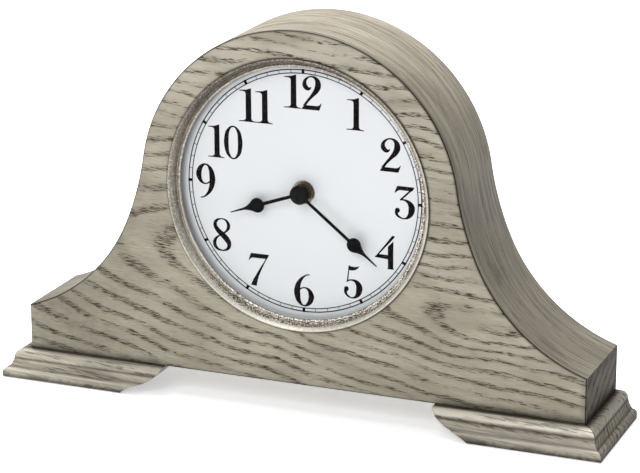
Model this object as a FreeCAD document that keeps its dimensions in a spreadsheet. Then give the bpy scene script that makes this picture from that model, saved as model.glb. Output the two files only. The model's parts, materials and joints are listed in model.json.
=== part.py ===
import FreeCAD, Part
import math
import os
import re
import Sketcher

# Tambour mantel clock. X runs to the right, Y to the back, Z up, in millimetres.
# The origin is on the floor, under the middle of the clock's width and depth.

os.makedirs("parts", exist_ok=True)
doc = FreeCAD.newDocument("tambour_clock")
Vector = FreeCAD.Vector
Constraint = Sketcher.Constraint

SIZES = {
    # case outline, seen from the front
    "overall_height": 242,
    "case_width": 372,
    "case_depth": 66,
    "arch_floor_gap": 6,
    "sweep_start_angle": 9,
    "sweep_upper_radius": 183.2,
    "sweep_turn_angle": 23.6,
    "plinth_corner_height": 46.5,
    "foot_height": 17.2,
    # case boards
    "front_panel_thickness": 12,
    "front_edge_rounding": 1.6,
    "arch_margin": 19.6,
    "cover_thickness": 5,
    "end_panel_thickness": 6,
    "bottom_board_thickness": 10,
    "back_recess": 9,
    "back_panel_thickness": 5,
    "joint_gap": 0.05,
    "overrun": 2,
    # rails that the back panel is screwed to
    "rail_depth": 12,
    "rail_height": 9,
    "rail_length": 64,
    "rail_end_gap": 8,
    "top_rail_width": 56,
    "top_rail_height": 10,
    # back door, its knob and its magnetic catch
    "door_width": 120,
    "door_arch_gap": 27,
    "door_sill_height": 60,
    "door_gap": 0.8,
    "knob_radius": 5.5,
    "knob_neck_radius": 3,
    "knob_height": 7.5,
    "knob_cap_height": 4,
    "knob_rounding": 2.5,
    "knob_spigot_radius": 2,
    "knob_inset": 13,
    "catch_height": 22,
    "catch_depth": 8,
    "catch_reach": 8,
    "catch_seat": 11,
    "strike_thickness": 0.8,
    "strike_height": 16,
    "strike_width": 7,
    "catch_clearance": 0.3,
    # door hinges
    "hinge_length": 21,
    "hinge_leaf_width": 9,
    "hinge_leaf_thickness": 0.8,
    "hinge_knuckle_radius": 1.5,
    "hinge_pin_radius": 0.7,
    "hinge_pin_clearance": 0.04,
    "hinge_knuckle_gap": 0.2,
    "hinge_end_inset": 16,
    # feet: one moulding along the front and one along the end, mitred
    "foot_overhang": 14,
    "foot_inner_width": 24,
    "bead_width": 3.6,
    "bead_height": 4.6,
    "bead_radius": 4.4,
    "cove_width": 2.9,
    "cove_radius": 16,
    "band_ledge": 0.5,
    "band_height": 6.1,
    "band_rounding": 2.6,
    "foot_top_length": 95.5,
    "foot_waist_inset": 14.5,
    "foot_toe_inset": 11,
    "foot_end_upper_radius": 22,
    "foot_end_lower_radius": 24,
    # felt pads under the feet
    "pad_radius": 6,
    "pad_thickness": 2,
    "pad_proud": 0.6,
    "pad_clearance": 0.1,
    "pad_front_inset": 12,
    "pad_corner_inset": 30,
    "pad_toe_inset": 12,
    "pad_side_inset": 16,
    "pad_rear_inset": 10,
    # foot screws
    "foot_screw_radius": 1.9,
    "foot_screw_length": 22,
    "foot_screw_head_radius": 3.8,
    "foot_screw_head_height": 2.4,
    "foot_screw_counterbore_radius": 4.2,
    "foot_screw_counterbore_depth": 2,
    "foot_screw_front_inset": 18,
    "foot_screw_toe_inset": 14,
    "foot_screw_side_inset": 14,
    "foot_screw_rear_inset": 20,
    # bezel, glass and the rings behind it
    "bezel_flange_width": 1.2,
    "bezel_edge_height": 0.9,
    "bezel_crest_inset": 0.8,
    "bezel_crest_height": 1.3,
    "bezel_crest_width": 0.5,
    "bezel_funnel_width": 2.9,
    "bezel_funnel_depth": 4.4,
    "bezel_funnel_bulge": 12,
    "bezel_groove_width": 0.3,
    "bezel_lip_width": 1.7,
    "bezel_lip_bead": 1.3,
    "bezel_lip_depth": 4.6,
    "bezel_lip_thickness": 1.1,
    "bezel_sleeve_thickness": 1,
    "bezel_clearance": 0.1,
    "glass_thickness": 2,
    "glass_rise": 9,
    "glass_lip_gap": 0.2,
    "retaining_ring_height": 1.2,
    "spacer_setback": 0.4,
    # dial
    "dial_rise": 1,
    "dial_margin": 8.2,
    "dial_thickness": 1,
    "dial_hole_radius": 4.1,
    "dial_screw_inset": 4,
    "dial_screw_radius": 1.1,
    "dial_screw_head_radius": 2.4,
    "dial_screw_head_height": 1.4,
    "dial_screw_length": 9,
    # fixings on the dial's face
    "dial_washer_radius": 7.5,
    "dial_washer_thickness": 0.7,
    "nut_radius": 6.3,
    "nut_height": 2.2,
    "nut_step_radius": 5.2,
    "nut_step_height": 0.7,
    "post_height": 3.4,
    # hands
    "hour_hand_height": 4.3,
    "hour_hub_radius": 4.8,
    "hour_hub_height": 0.9,
    "hour_tip_shortfall": 14.6,
    "hour_spade_radius": 4.65,
    "hour_shaft_width": 2.1,
    "hour_angle": 250.5,
    "minute_hand_height": 6,
    "minute_hub_radius": 3.6,
    "minute_hub_height": 0.7,
    "minute_tip_margin": 16.3,
    "minute_spade_radius": 4.6,
    "minute_shaft_width": 1.9,
    "minute_angle": 128.4,
    "hand_thickness": 0.5,
    "hand_tip_width": 0.5,
    "spade_shoulder_angle": 38,
    "spade_belly_angle": 60,
    "spade_tip_reach": 18.95,
    "spade_neck_reach": 9.6,
    "spade_neck_width": 1.5,
    "spade_taper_radius": 13,
    "hand_cap_radius": 6,
    "hand_cap_height": 3,
    "hand_cap_edge_height": 1.3,
    # movement, measured behind its front face
    "rubber_washer_radius": 9,
    "rubber_washer_thickness": 1,
    "movement_side": 56,
    "movement_corner_rounding": 2,
    "movement_depth": 18,
    "movement_split_depth": 9,
    "movement_wall": 1.2,
    "movement_base": 1.5,
    "bay_height": 14.5,
    "bay_wall": 1,
    "post_radius": 4,
    "post_bore_radius": 2.68,
    "post_flange_radius": 6,
    "post_flange_thickness": 1,
    "running_clearance": 0.06,
    "hour_tube_radius": 2.6,
    "arbor_radius": 1.5,
    "thin_arbor_radius": 0.8,
    "pivot_radius": 0.4,
    "stud_radius": 0.6,
    "gear_thickness": 0.8,
    "pinion_extra": 0.2,
    "hour_wheel_depth": 3.2,
    "motion_wheel_depth": 5.2,
    "train_plate_depth": 6.6,
    "train_plate_thickness": 1,
    "centre_wheel_depth": 8.4,
    "third_wheel_depth": 10,
    "second_wheel_depth": 11.6,
    "intermediate_wheel_depth": 13.2,
    "arbor_end_depth": 16.4,
    "boss_height": 1.2,
    "boss_radius": 1.3,
    "pillar_radius": 1.5,
    "pillar_inset": 5,
    "motion_module": 0.3,
    "centre_module": 0.24,
    "train_module": 0.2,
    "third_bearing_angle": 150,
    "second_bearing_angle": 75,
    "intermediate_bearing_angle": -10,
    "rotor_bearing_angle": -10,
    "motion_bearing_angle": 20,
    "setting_bearing_angle": -30,
    "cannon_teeth": 12,
    "motion_wheel_teeth": 36,
    "motion_pinion_teeth": 10,
    "hour_teeth": 40,
    "setting_teeth": 18,
    "centre_teeth": 80,
    "third_pinion_teeth": 10,
    "third_teeth": 75,
    "second_pinion_teeth": 10,
    "second_teeth": 60,
    "intermediate_pinion_teeth": 10,
    "intermediate_teeth": 50,
    "rotor_teeth": 10,
    "addendum_share": 0.8,
    "dedendum_share": 1.15,
    "tooth_width_share": 0.42,
    "motion_hub_share": 1.5,
    # rotor, stator and coil
    "magnet_radius": 3,
    "magnet_depth": 10.4,
    "magnet_height": 2.2,
    "stator_depth": 11.2,
    "stator_thickness": 0.6,
    "stator_hole_radius": 3.4,
    "stator_left": 1.8,
    "stator_right": 25.2,
    "stator_bottom": 6.8,
    "stator_shoulder": 16,
    "stator_top": 24,
    "stator_leg_width": 2.7,
    "coil_axis_height": 21.6,
    "coil_flange_radius": 3.7,
    "coil_winding_radius": 3.3,
    "coil_core_radius": 1.2,
    "coil_flange_thickness": 1,
    # circuit board
    "board_left_gap": 0.4,
    "board_width": 8.6,
    "board_bottom": -9,
    "board_height": 33,
    "board_thickness": 0.8,
    "quartz_radius": 1,
    "quartz_length": 6,
    "chip_radius": 2.4,
    "chip_height": 0.9,
    # battery and its contacts
    "battery_radius": 7.1,
    "battery_length": 50.5,
    "battery_nub_radius": 2.6,
    "battery_nub_length": 1.4,
    "battery_edge_rounding": 0.8,
    "contact_thickness": 0.4,
    "contact_width": 8,
    "contact_height": 9,
    # setting knob at the back of the movement
    "setting_shaft_radius": 1.5,
    "setting_knob_radius": 5,
    "setting_knob_height": 3.2,
    "setting_knob_gap": 0.6,
    "setting_knob_rounding": 0.6,
    # small screws of the back
    "back_screw_radius": 1.4,
    "back_screw_head_radius": 3,
    "back_screw_head_height": 1.8,
    "back_screw_length": 14,
    "back_screw_spacing": 36,
    "hinge_screw_radius": 0.8,
    "hinge_screw_head_radius": 1.5,
    "hinge_screw_head_height": 0.7,
    "hinge_screw_length": 4.5,
    "hinge_screw_spacing": 12,
    "slot_width_share": 0.22,
    "slot_depth_share": 0.5,
}

# Places worked out from the sizes. Lengths in the front view are x to the right and height up.
PLACES = {
    "half_width": "case_width / 2",
    "case_front": "foot_overhang - (case_depth + foot_overhang) / 2",
    "case_back": "case_front + case_depth",
    "panel_back": "case_front + front_panel_thickness",
    "back_panel_back": "case_back - back_recess",
    "back_panel_front": "back_panel_back - back_panel_thickness",
    "board_depth": "case_depth - front_panel_thickness",
    "board_top": "foot_height + bottom_board_thickness",
    "arch_radius": "(overall_height - board_top - arch_floor_gap) / 2",
    "arch_centre": "overall_height - arch_radius",
    "dial_centre": "arch_centre + dial_rise",
    # the sweep's two arcs: the upper one touches the arch, the lower one ends at the plinth corner
    "upper_x": "(arch_radius + sweep_upper_radius) * cos(sweep_start_angle)",
    "upper_z": "arch_centre + (arch_radius + sweep_upper_radius) * sin(sweep_start_angle)",
    "turn_x": "upper_x - sweep_upper_radius * cos(sweep_turn_angle)",
    "turn_z": "upper_z - sweep_upper_radius * sin(sweep_turn_angle)",
    "to_corner_x": "half_width - turn_x",
    "to_corner_z": "plinth_corner_height - turn_z",
    "to_corner_inwards": "to_corner_x * cos(sweep_turn_angle) + to_corner_z * sin(sweep_turn_angle)",
    "lower_radius": "(to_corner_x ^ 2 + to_corner_z ^ 2) / (2 * to_corner_inwards)",
    "lower_x": "turn_x + lower_radius * cos(sweep_turn_angle)",
    "lower_z": "turn_z + lower_radius * sin(sweep_turn_angle)",
    # door, in the front view
    "door_left": "-door_width / 2",
    "door_right": "door_width / 2",
    "door_corner_height": "sqrt((arch_radius - cover_thickness) ^ 2 - (door_width / 2) ^ 2)",
    "door_top": "arch_centre + door_corner_height - door_arch_gap",
    "door_height": "door_top - door_sill_height",
    "hinge_x": "-(door_width + door_gap) / 2",
    "hinge_y": "back_panel_back + hinge_knuckle_radius",
    "low_hinge_z": "door_sill_height + hinge_end_inset",
    "high_hinge_z": "door_top - hinge_end_inset - hinge_length",
    "hinge_screw_offset": "(hinge_leaf_width + hinge_knuckle_radius) / 2",
    "knob_x": "door_right - knob_inset",
    "door_middle": "door_sill_height + door_height / 2",
    # feet: how far each part of the moulding stands out, and where the bracket's end is cut
    "cove_reach": "foot_overhang - band_rounding - band_ledge",
    "bead_reach": "cove_reach - cove_width",
    "foot_top_reach": "bead_reach - bead_width",
    "bead_bottom_height": "foot_height - bead_height",
    "bracket_top_x": "half_width - foot_top_length",
    "bracket_waist_x": "bracket_top_x + foot_waist_inset",
    "bracket_toe_x": "bracket_waist_x + foot_toe_inset",
    # bezel, measured in front of the dial
    "opening_radius": "arch_radius - arch_margin",
    "bezel_radius": "opening_radius + bezel_flange_width",
    "bezel_crest_radius": "bezel_radius - bezel_crest_inset",
    "bezel_funnel_radius": "bezel_crest_radius - bezel_funnel_width",
    "bezel_lip_radius": "bezel_funnel_radius - bezel_lip_width",
    "spacer_bore_radius": "bezel_lip_radius + spacer_setback",
    "dial_radius": "opening_radius + dial_margin",
    "dial_screw_circle_radius": "dial_radius - dial_screw_inset",
    "minute_hand_length": "bezel_lip_radius - minute_tip_margin",
    "minute_spade_distance": "minute_hand_length - spade_tip_reach",
    "hour_hand_length": "minute_hand_length - hour_tip_shortfall",
    "hour_spade_distance": "hour_hand_length - spade_tip_reach",
    "face_height": "front_panel_thickness",
    "sleeve_outer_radius": "opening_radius - bezel_clearance",
    "sleeve_inner_radius": "sleeve_outer_radius - bezel_sleeve_thickness",
    "lip_front": "face_height - bezel_lip_depth",
    "lip_back": "lip_front - bezel_lip_thickness",
    "glass_back": "lip_back - glass_thickness",
    "spacer_height": "glass_back - retaining_ring_height",
    "glass_radius": "sleeve_inner_radius - bezel_clearance",
    "glass_dome_radius": "bezel_lip_radius - glass_lip_gap",
    "movement_front": "panel_back + dial_thickness + rubber_washer_thickness",
    "dial_to_movement": "dial_thickness + rubber_washer_thickness",
    # inside of the movement, measured from the centre arbor
    "movement_half": "movement_side / 2",
    "movement_inside": "movement_half - movement_wall",
    "bay_bottom": "-movement_inside",
    "bay_top": "bay_bottom + bay_height",
    "train_bottom": "bay_top + bay_wall",
    "battery_depth": "movement_base + battery_radius + joint_gap",
    "battery_axis": "bay_bottom + bay_height / 2",
    # arbors of the movement, to the right of and above the centre arbor
    "third_arm": "centre_module * (centre_teeth + third_pinion_teeth) / 2",
    "third_x": "third_arm * cos(third_bearing_angle)",
    "third_z": "third_arm * sin(third_bearing_angle)",
    "second_arm": "train_module * (third_teeth + second_pinion_teeth) / 2",
    "second_x": "third_x + second_arm * cos(second_bearing_angle)",
    "second_z": "third_z + second_arm * sin(second_bearing_angle)",
    "intermediate_arm": "train_module * (second_teeth + intermediate_pinion_teeth) / 2",
    "intermediate_x": "second_x + intermediate_arm * cos(intermediate_bearing_angle)",
    "intermediate_z": "second_z + intermediate_arm * sin(intermediate_bearing_angle)",
    "rotor_arm": "train_module * (intermediate_teeth + rotor_teeth) / 2",
    "rotor_x": "intermediate_x + rotor_arm * cos(rotor_bearing_angle)",
    "rotor_z": "intermediate_z + rotor_arm * sin(rotor_bearing_angle)",
    "motion_arm": "motion_module * (cannon_teeth + motion_wheel_teeth) / 2",
    "motion_x": "motion_arm * cos(motion_bearing_angle)",
    "motion_z": "motion_arm * sin(motion_bearing_angle)",
    "setting_arm": "motion_module * (motion_wheel_teeth + setting_teeth) / 2",
    "setting_x": "motion_x + setting_arm * cos(setting_bearing_angle)",
    "setting_z": "motion_z + setting_arm * sin(setting_bearing_angle)",
    "hour_module": "2 * motion_arm / (motion_pinion_teeth + hour_teeth)",
}


def bound(formula):
    """Write a formula's words as references to the cells that hold them."""
    def reference(match):
        word = match.group()
        if word in SIZES:
            return "Sizes." + word
        if word in PLACES:
            return "Places." + word
        return word
    return re.sub(r"[a-z][a-z_]+", reference, formula)


sizes = doc.addObject("Spreadsheet::Sheet", "Sizes")
for row, (word, number) in enumerate(SIZES.items(), 1):
    sizes.set(f"A{row}", word)
    sizes.set(f"B{row}", str(number))
    sizes.setAlias(f"B{row}", word)

places = doc.addObject("Spreadsheet::Sheet", "Places")
for row, (word, formula) in enumerate(PLACES.items(), 1):
    places.set(f"A{row}", word)
    places.set(f"B{row}", "=" + bound(formula).replace("Places.", ""))
    places.setAlias(f"B{row}", word)
doc.recompute()


def value(formula):
    """The number that a formula of sizes and places gives."""
    return float(sizes.evalExpression(bound(str(formula))))


# The front view turns a sketch's own x, y, z into the clock's x, z and forwards.
FRONT_VIEW = FreeCAD.Rotation(Vector(1, 0, 0), 90)
PLAN_VIEW = FreeCAD.Rotation()
TOLERANCE = 1e-6
cuts = []
nodes = []


def put(piece, turn, x, y, z):
    """Give a sub-part its placement, bound to the sheets."""
    piece.Placement = FreeCAD.Placement(Vector(value(x), value(y), value(z)), turn)
    for axis, formula in (("x", x), ("y", y), ("z", z)):
        if formula != "0":
            piece.setExpression("Placement.Base." + axis, bound(formula))


def new_body(label, turn, x="0", y="0", z="0"):
    body = doc.addObject("PartDesign::Body", label)
    body.Label = label
    put(body, turn, x, y, z)
    nodes.append(body)
    return body


def arc_between(start, end, radius, side):
    """The shorter arc from start to end; side 1 turns left, side -1 turns right."""
    chord = end - start
    half = chord.Length / 2
    rise = math.sqrt(max(radius ** 2 - half ** 2, 0))
    normal = Vector(-chord.y, chord.x, 0).normalize() * side
    centre = (start + end) * 0.5 + normal * rise
    first, last = (start, end) if side > 0 else (end, start)
    angles = [math.atan2(point.y - centre.y, point.x - centre.x) for point in (first, last)]
    return Part.ArcOfCircle(Part.Circle(centre, Vector(0, 0, 1), radius), *angles)


def draw(body, name, plane, loops, lift="0"):
    """Sketch closed loops on one of the body's origin planes.

    A loop is ("circle", x, y, radius), or a list of corners (x, y), where a corner with two more
    entries, radius and side, starts an arc to the next corner. All are formulas of the sheets.
    """
    sketch = body.newObject("Sketcher::SketchObject", body.Label + "_" + name)
    origin_plane = next(f for f in body.Origin.OriginFeatures if f.Role == plane)
    sketch.AttachmentSupport = [(origin_plane, "")]
    sketch.MapMode = "FlatFace"
    if lift != "0":
        sketch.setExpression("AttachmentOffset.Base.z", bound(lift))
    shapes, rules, formulas = [], [], []

    def measure(kind, *reference_and_formula):
        *reference, formula = reference_and_formula
        rules.append(Constraint(kind, *reference, value(formula)))
        formulas.append((len(rules) - 1, formula))

    def place_point(geometry, point, x, y):
        measure("DistanceX", -1, 1, geometry, point, x)
        measure("DistanceY", -1, 1, geometry, point, y)

    for loop in loops:
        first = len(shapes)
        if loop[0] == "circle":
            centre = Vector(value(loop[1]), value(loop[2]), 0)
            shapes.append(Part.Circle(centre, Vector(0, 0, 1), value(loop[3])))
            place_point(first, 3, loop[1], loop[2])
            measure("Radius", first, loop[3])
            continue
        corners = [Vector(value(corner[0]), value(corner[1]), 0) for corner in loop]
        ends = []
        for index, corner in enumerate(loop):
            start, end = corners[index], corners[(index + 1) % len(corners)]
            if len(corner) == 2:
                shapes.append(Part.LineSegment(start, end))
                ends.append((1, 2))
            else:
                shapes.append(arc_between(start, end, value(corner[2]), corner[3]))
                ends.append((1, 2) if corner[3] > 0 else (2, 1))
        for index, corner in enumerate(loop):
            geometry, following = first + index, first + (index + 1) % len(loop)
            next_start = ends[(index + 1) % len(loop)][0]
            rules.append(Constraint("Coincident", geometry, ends[index][1], following, next_start))
            place_point(geometry, ends[index][0], corner[0], corner[1])
            if len(corner) > 2:
                measure("Radius", geometry, corner[2])
    sketch.addGeometry(shapes, False)
    sketch.addConstraint(rules)
    for index, formula in formulas:
        if re.search("[a-z]", formula):
            sketch.setExpression(f"Constraints[{index}]", bound(formula))
    return sketch


def pad(body, sketch, length):
    feature = body.newObject("PartDesign::Pad", sketch.Label + "_pad")
    feature.Profile = sketch
    feature.setExpression("Length", bound(length))
    doc.recompute()
    return feature


def pocket(body, sketch, depth=None):
    """Cut backwards from the sketch by depth, or right through both ways."""
    feature = body.newObject("PartDesign::Pocket", sketch.Label + "_pocket")
    feature.Profile = sketch
    if depth:
        feature.setExpression("Length", bound(depth))
    else:
        feature.Type = "ThroughAll"
        feature.Midplane = True
    doc.recompute()
    cuts.append(feature)
    return feature


def turn_round(body, sketch):
    feature = body.newObject("PartDesign::Revolution", sketch.Label + "_turned")
    feature.Profile = sketch
    feature.ReferenceAxis = (sketch, ["V_Axis"])
    feature.Angle = 360
    doc.recompute()
    return feature


def round_edges(body, base, wanted, radius):
    """Round the edges of a feature that the test picks."""
    names = [f"Edge{i}" for i, edge in enumerate(base.Shape.Edges, 1) if wanted(edge)]
    feature = body.newObject("PartDesign::Fillet", base.Label + "_rounded")
    feature.Base = (base, names)
    feature.setExpression("Radius", bound(radius))
    doc.recompute()
    return feature


def rectangle(left, bottom, right, top):
    return [(left, bottom), (right, bottom), (right, top), (left, top)]


def turned_piece(label, profile, turn, x, y, z):
    """A piece turned from a half profile of corners (radius, height)."""
    body = new_body(label, turn, x, y, z)
    turn_round(body, draw(body, "profile", "XZ_Plane", [profile]))
    return body


def flat_piece(label, loops, back, thickness):
    """A board cut from an outline in the front view, with its back face at a given depth."""
    body = new_body(label, FRONT_VIEW, "0", back, "0")
    pad(body, draw(body, "outline", "XY_Plane", loops), thickness)
    return body


def shaped(label, shape, turn, x, y, z):
    """A sub-part whose shape is worked out by Part's own functions."""
    piece = doc.addObject("Part::Feature", label)
    piece.Label = label
    piece.Shape = shape
    put(piece, turn, x, y, z)
    nodes.append(piece)
    return piece


# Case

def sweep_corners(inset, end_x):
    """Corners of the arch and both sweeps, from the right end to the left, moved inwards."""
    def corner(x_formula, z_formula, *arc):
        return [x_formula, z_formula, *arc]
    upper = f"(sweep_upper_radius + {inset})"
    lower = f"(lower_radius + {inset})"
    arch = f"(arch_radius - {inset})"
    end_z = f"lower_z - sqrt({lower} ^ 2 - (({end_x}) - lower_x) ^ 2)"
    middle_x = f"upper_x - {upper} * cos(sweep_turn_angle)"
    middle_z = f"upper_z - {upper} * sin(sweep_turn_angle)"
    arch_x = f"{arch} * cos(sweep_start_angle)"
    arch_z = f"arch_centre + {arch} * sin(sweep_start_angle)"
    return [
        corner(end_x, end_z, lower, -1),
        corner(middle_x, middle_z, upper, -1),
        corner(arch_x, arch_z, arch, 1),
        corner(f"-({arch_x})", arch_z, upper, -1),
        corner(f"-({middle_x})", middle_z, lower, -1),
        corner(f"-({end_x})", end_z),
    ]


def reverse_corners(corners):
    """The same path walked the other way."""
    path = []
    for index in range(len(corners) - 1, -1, -1):
        arc = corners[index - 1][2:] if index > 0 else []
        path.append([*corners[index][:2], *([arc[0], -arc[1]] if arc else [])])
    return path


def make_front_panel():
    outline = [("-half_width", "foot_height"), ("half_width", "foot_height")]
    outline += sweep_corners("0", "half_width")
    body = flat_piece("front_panel", [outline], "panel_back", "front_panel_thickness")
    opening = draw(body, "opening", "XY_Plane", [("circle", "0", "dial_centre", "opening_radius")])
    pocket(body, opening)
    holes = [("circle", x, z, "dial_screw_radius + joint_gap") for x, z in dial_screw_places()]
    holes = draw(body, "screw_holes", "XY_Plane", holes)
    drilled = pocket(body, holes, "dial_screw_length")
    drilled.Reversed = True
    doc.recompute()
    front = value("front_panel_thickness")
    reach = value("opening_radius + bezel_clearance")
    middle = Vector(0, value("dial_centre"), front)

    def outer_front_edge(edge):
        on_face = edge.BoundBox.ZMin > front - TOLERANCE and edge.BoundBox.ZMax < front + TOLERANCE
        return on_face and (edge.Vertexes[0].Point - middle).Length > reach

    round_edges(body, drilled, outer_front_edge, "front_edge_rounding")


def dial_screw_places():
    """Four screws on the diagonals of the dial."""
    reach = "dial_screw_circle_radius * sqrt(0.5)"
    return [(f"{sx}{reach}", f"dial_centre {sz} {reach}") for sx in ("", "-") for sz in "+-"]


def make_cover():
    outer = sweep_corners("0", "half_width")
    inner = reverse_corners(sweep_corners("cover_thickness", "half_width"))
    flat_piece("tambour_cover", [outer + inner], "case_back", "board_depth")


def make_end_panel(label, side):
    inset = "(cover_thickness + joint_gap)"
    under = f"(lower_radius + {inset})"
    inner_x = "(half_width - end_panel_thickness)"

    def top(x):
        return f"lower_z - sqrt({under} ^ 2 - ({x} - lower_x) ^ 2)"

    if side > 0:
        outline = [
            (inner_x, "foot_height"),
            ("half_width", "foot_height"),
            ("half_width", top("half_width"), under, -1),
            (inner_x, top(inner_x)),
        ]
    else:
        outline = [
            ("-half_width", "foot_height"),
            (f"-{inner_x}", "foot_height"),
            (f"-{inner_x}", top(inner_x), under, -1),
            ("-half_width", top("half_width")),
        ]
    flat_piece(label, [outline], "case_back", "board_depth")


def make_bottom_board():
    edge = "(half_width - end_panel_thickness)"
    outline = rectangle(f"-{edge}", "foot_height", edge, "board_top")
    body = flat_piece("bottom_board", [outline], "case_back", "board_depth")
    # pilot holes for the foot screws, drilled up from below
    holes = []
    for x, y in foot_screw_places():
        holes.append(("circle", x, f"case_back - ({y})", "foot_screw_radius + joint_gap"))
    holes = draw(body, "pilot_holes", "XZ_Plane", holes, "-foot_height")
    tip = "pad_proud + foot_screw_counterbore_depth + foot_screw_length + joint_gap"
    pocket(body, holes, f"{tip} - foot_height")


def back_outline(inset):
    """Outline of the back panel inside the cover, the end panels and the bottom board."""
    edge = "(half_width - end_panel_thickness - joint_gap)"
    return [(f"-{edge}", "board_top"), (edge, "board_top")] + sweep_corners(inset, edge)


def back_screw_places():
    """Two screws in each of the three rails."""
    lower_x = "(half_width - end_panel_thickness - rail_end_gap - rail_length / 2)"
    lower_z = "board_top + rail_height / 2"
    shoulder = "sqrt((arch_radius - cover_thickness) ^ 2 - (top_rail_width / 2) ^ 2)"
    top_z = f"arch_centre + {shoulder} - top_rail_height / 2"
    found = []
    for x, z in ((f"-{lower_x}", lower_z), (lower_x, lower_z), ("0", top_z)):
        found += [(f"{x} {sign} back_screw_spacing / 2", z) for sign in "+-"]
    return found


def make_back_panel():
    door = rectangle(
        "door_left - door_gap",
        "door_sill_height - door_gap",
        "door_right + door_gap",
        "door_top + door_gap",
    )
    outline = back_outline("(cover_thickness + joint_gap)")
    body = flat_piece("back_panel", [outline, door], "back_panel_back", "back_panel_thickness")
    holes = [("circle", x, z, "back_screw_radius + joint_gap") for x, z in back_screw_places()]
    pocket(body, draw(body, "screw_holes", "XY_Plane", holes))
    holes = hinge_screw_holes("-hinge_screw_offset")
    pocket(body, draw(body, "hinge_holes", "XY_Plane", holes))


def hinge_screw_holes(offset):
    radius = "hinge_screw_radius + joint_gap"
    return [("circle", x, z, radius) for x, z in hinge_screw_places(offset)]


def hinge_screw_places(offset):
    """Two screws in each leaf of one side."""
    found = []
    for base in ("low_hinge_z", "high_hinge_z"):
        for sign in "+-":
            z = f"{base} + hinge_length / 2 {sign} hinge_screw_spacing / 2"
            found.append((f"hinge_x + ({offset})", z))
    return found


def make_rails():
    """Three wooden rails inside the back edge, which take the back panel's screws."""
    inner = "(half_width - end_panel_thickness - rail_end_gap)"
    for label, left, right in (
        ("back_rail_right", f"{inner} - rail_length", inner),
        ("back_rail_left", f"-{inner}", f"rail_length - {inner}"),
    ):
        outline = rectangle(left, "board_top", right, "board_top + rail_height")
        body = flat_piece(label, [outline], "back_panel_front", "rail_depth")
        sign = 1 if value(left) > 0 else -1
        drill_rail(body, [p for p in back_screw_places() if value(p[0]) * sign > value("rail_length")])
    arch = "(arch_radius - cover_thickness - joint_gap)"
    half = "(top_rail_width / 2)"
    shoulder = f"arch_centre + sqrt({arch} ^ 2 - {half} ^ 2)"
    outline = [
        (f"-{half}", f"{shoulder} - top_rail_height"),
        (half, f"{shoulder} - top_rail_height"),
        (half, shoulder, arch, 1),
        (f"-{half}", shoulder),
    ]
    body = flat_piece("back_rail_top", [outline], "back_panel_front", "rail_depth")
    drill_rail(body, [p for p in back_screw_places() if abs(value(p[0])) < value("rail_length")])


def drill_rail(body, screw_places):
    """Blind holes from the rail's back face."""
    holes = [("circle", x, z, "back_screw_radius + joint_gap") for x, z in screw_places]
    holes = draw(body, "screw_holes", "XY_Plane", holes)
    drilled = pocket(body, holes, "back_screw_length - back_panel_thickness")
    drilled.Reversed = True
    doc.recompute()


# Back door

def make_door():
    outline = rectangle("door_left", "door_sill_height", "door_right", "door_top")
    body = flat_piece("back_door", [outline], "back_panel_back", "back_panel_thickness")
    spigot = [("circle", "knob_x", "door_middle", "knob_spigot_radius + joint_gap")]
    pocket(body, draw(body, "knob_hole", "XY_Plane", spigot))
    holes = hinge_screw_holes("hinge_screw_offset")
    pocket(body, draw(body, "hinge_holes", "XY_Plane", holes))


def make_door_knob():
    """A small turned knob; its spigot goes through the door."""
    neck = "knob_height - knob_cap_height"
    profile = [
        ("0", "-back_panel_thickness"),
        ("knob_spigot_radius", "-back_panel_thickness"),
        ("knob_spigot_radius", "0"),
        ("knob_neck_radius", "0"),
        ("knob_neck_radius", neck),
        ("knob_radius", neck),
        ("knob_radius", "knob_height - knob_rounding", "knob_rounding", 1),
        ("knob_radius - knob_rounding", "knob_height"),
        ("0", "knob_height"),
    ]
    backwards = FreeCAD.Rotation(Vector(1, 0, 0), -90)
    turned_piece("door_knob", profile, backwards, "knob_x", "back_panel_back", "door_middle")


def make_catch():
    """The magnet block sits behind the panel's edge and reaches over the door's opening."""
    nose = "-catch_reach"
    edge = "door_gap"
    step = "strike_thickness + catch_clearance"
    body = new_body("magnet_catch", PLAN_VIEW, "door_right", "back_panel_front", "door_middle - catch_height / 2")
    outline = [
        (nose, "-catch_depth"),
        (f"{edge} + catch_seat", "-catch_depth"),
        (f"{edge} + catch_seat", "0"),
        (edge, "0"),
        (edge, f"-({step})"),
        (nose, f"-({step})"),
    ]
    pad(body, draw(body, "outline", "XY_Plane", [outline]), "catch_height")
    low = "door_middle - strike_height / 2"
    left = "door_right - strike_width"
    plate = rectangle(left, low, "door_right", f"{low} + strike_height")
    flat_piece("strike_plate", [plate], "back_panel_front", "strike_thickness")


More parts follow.
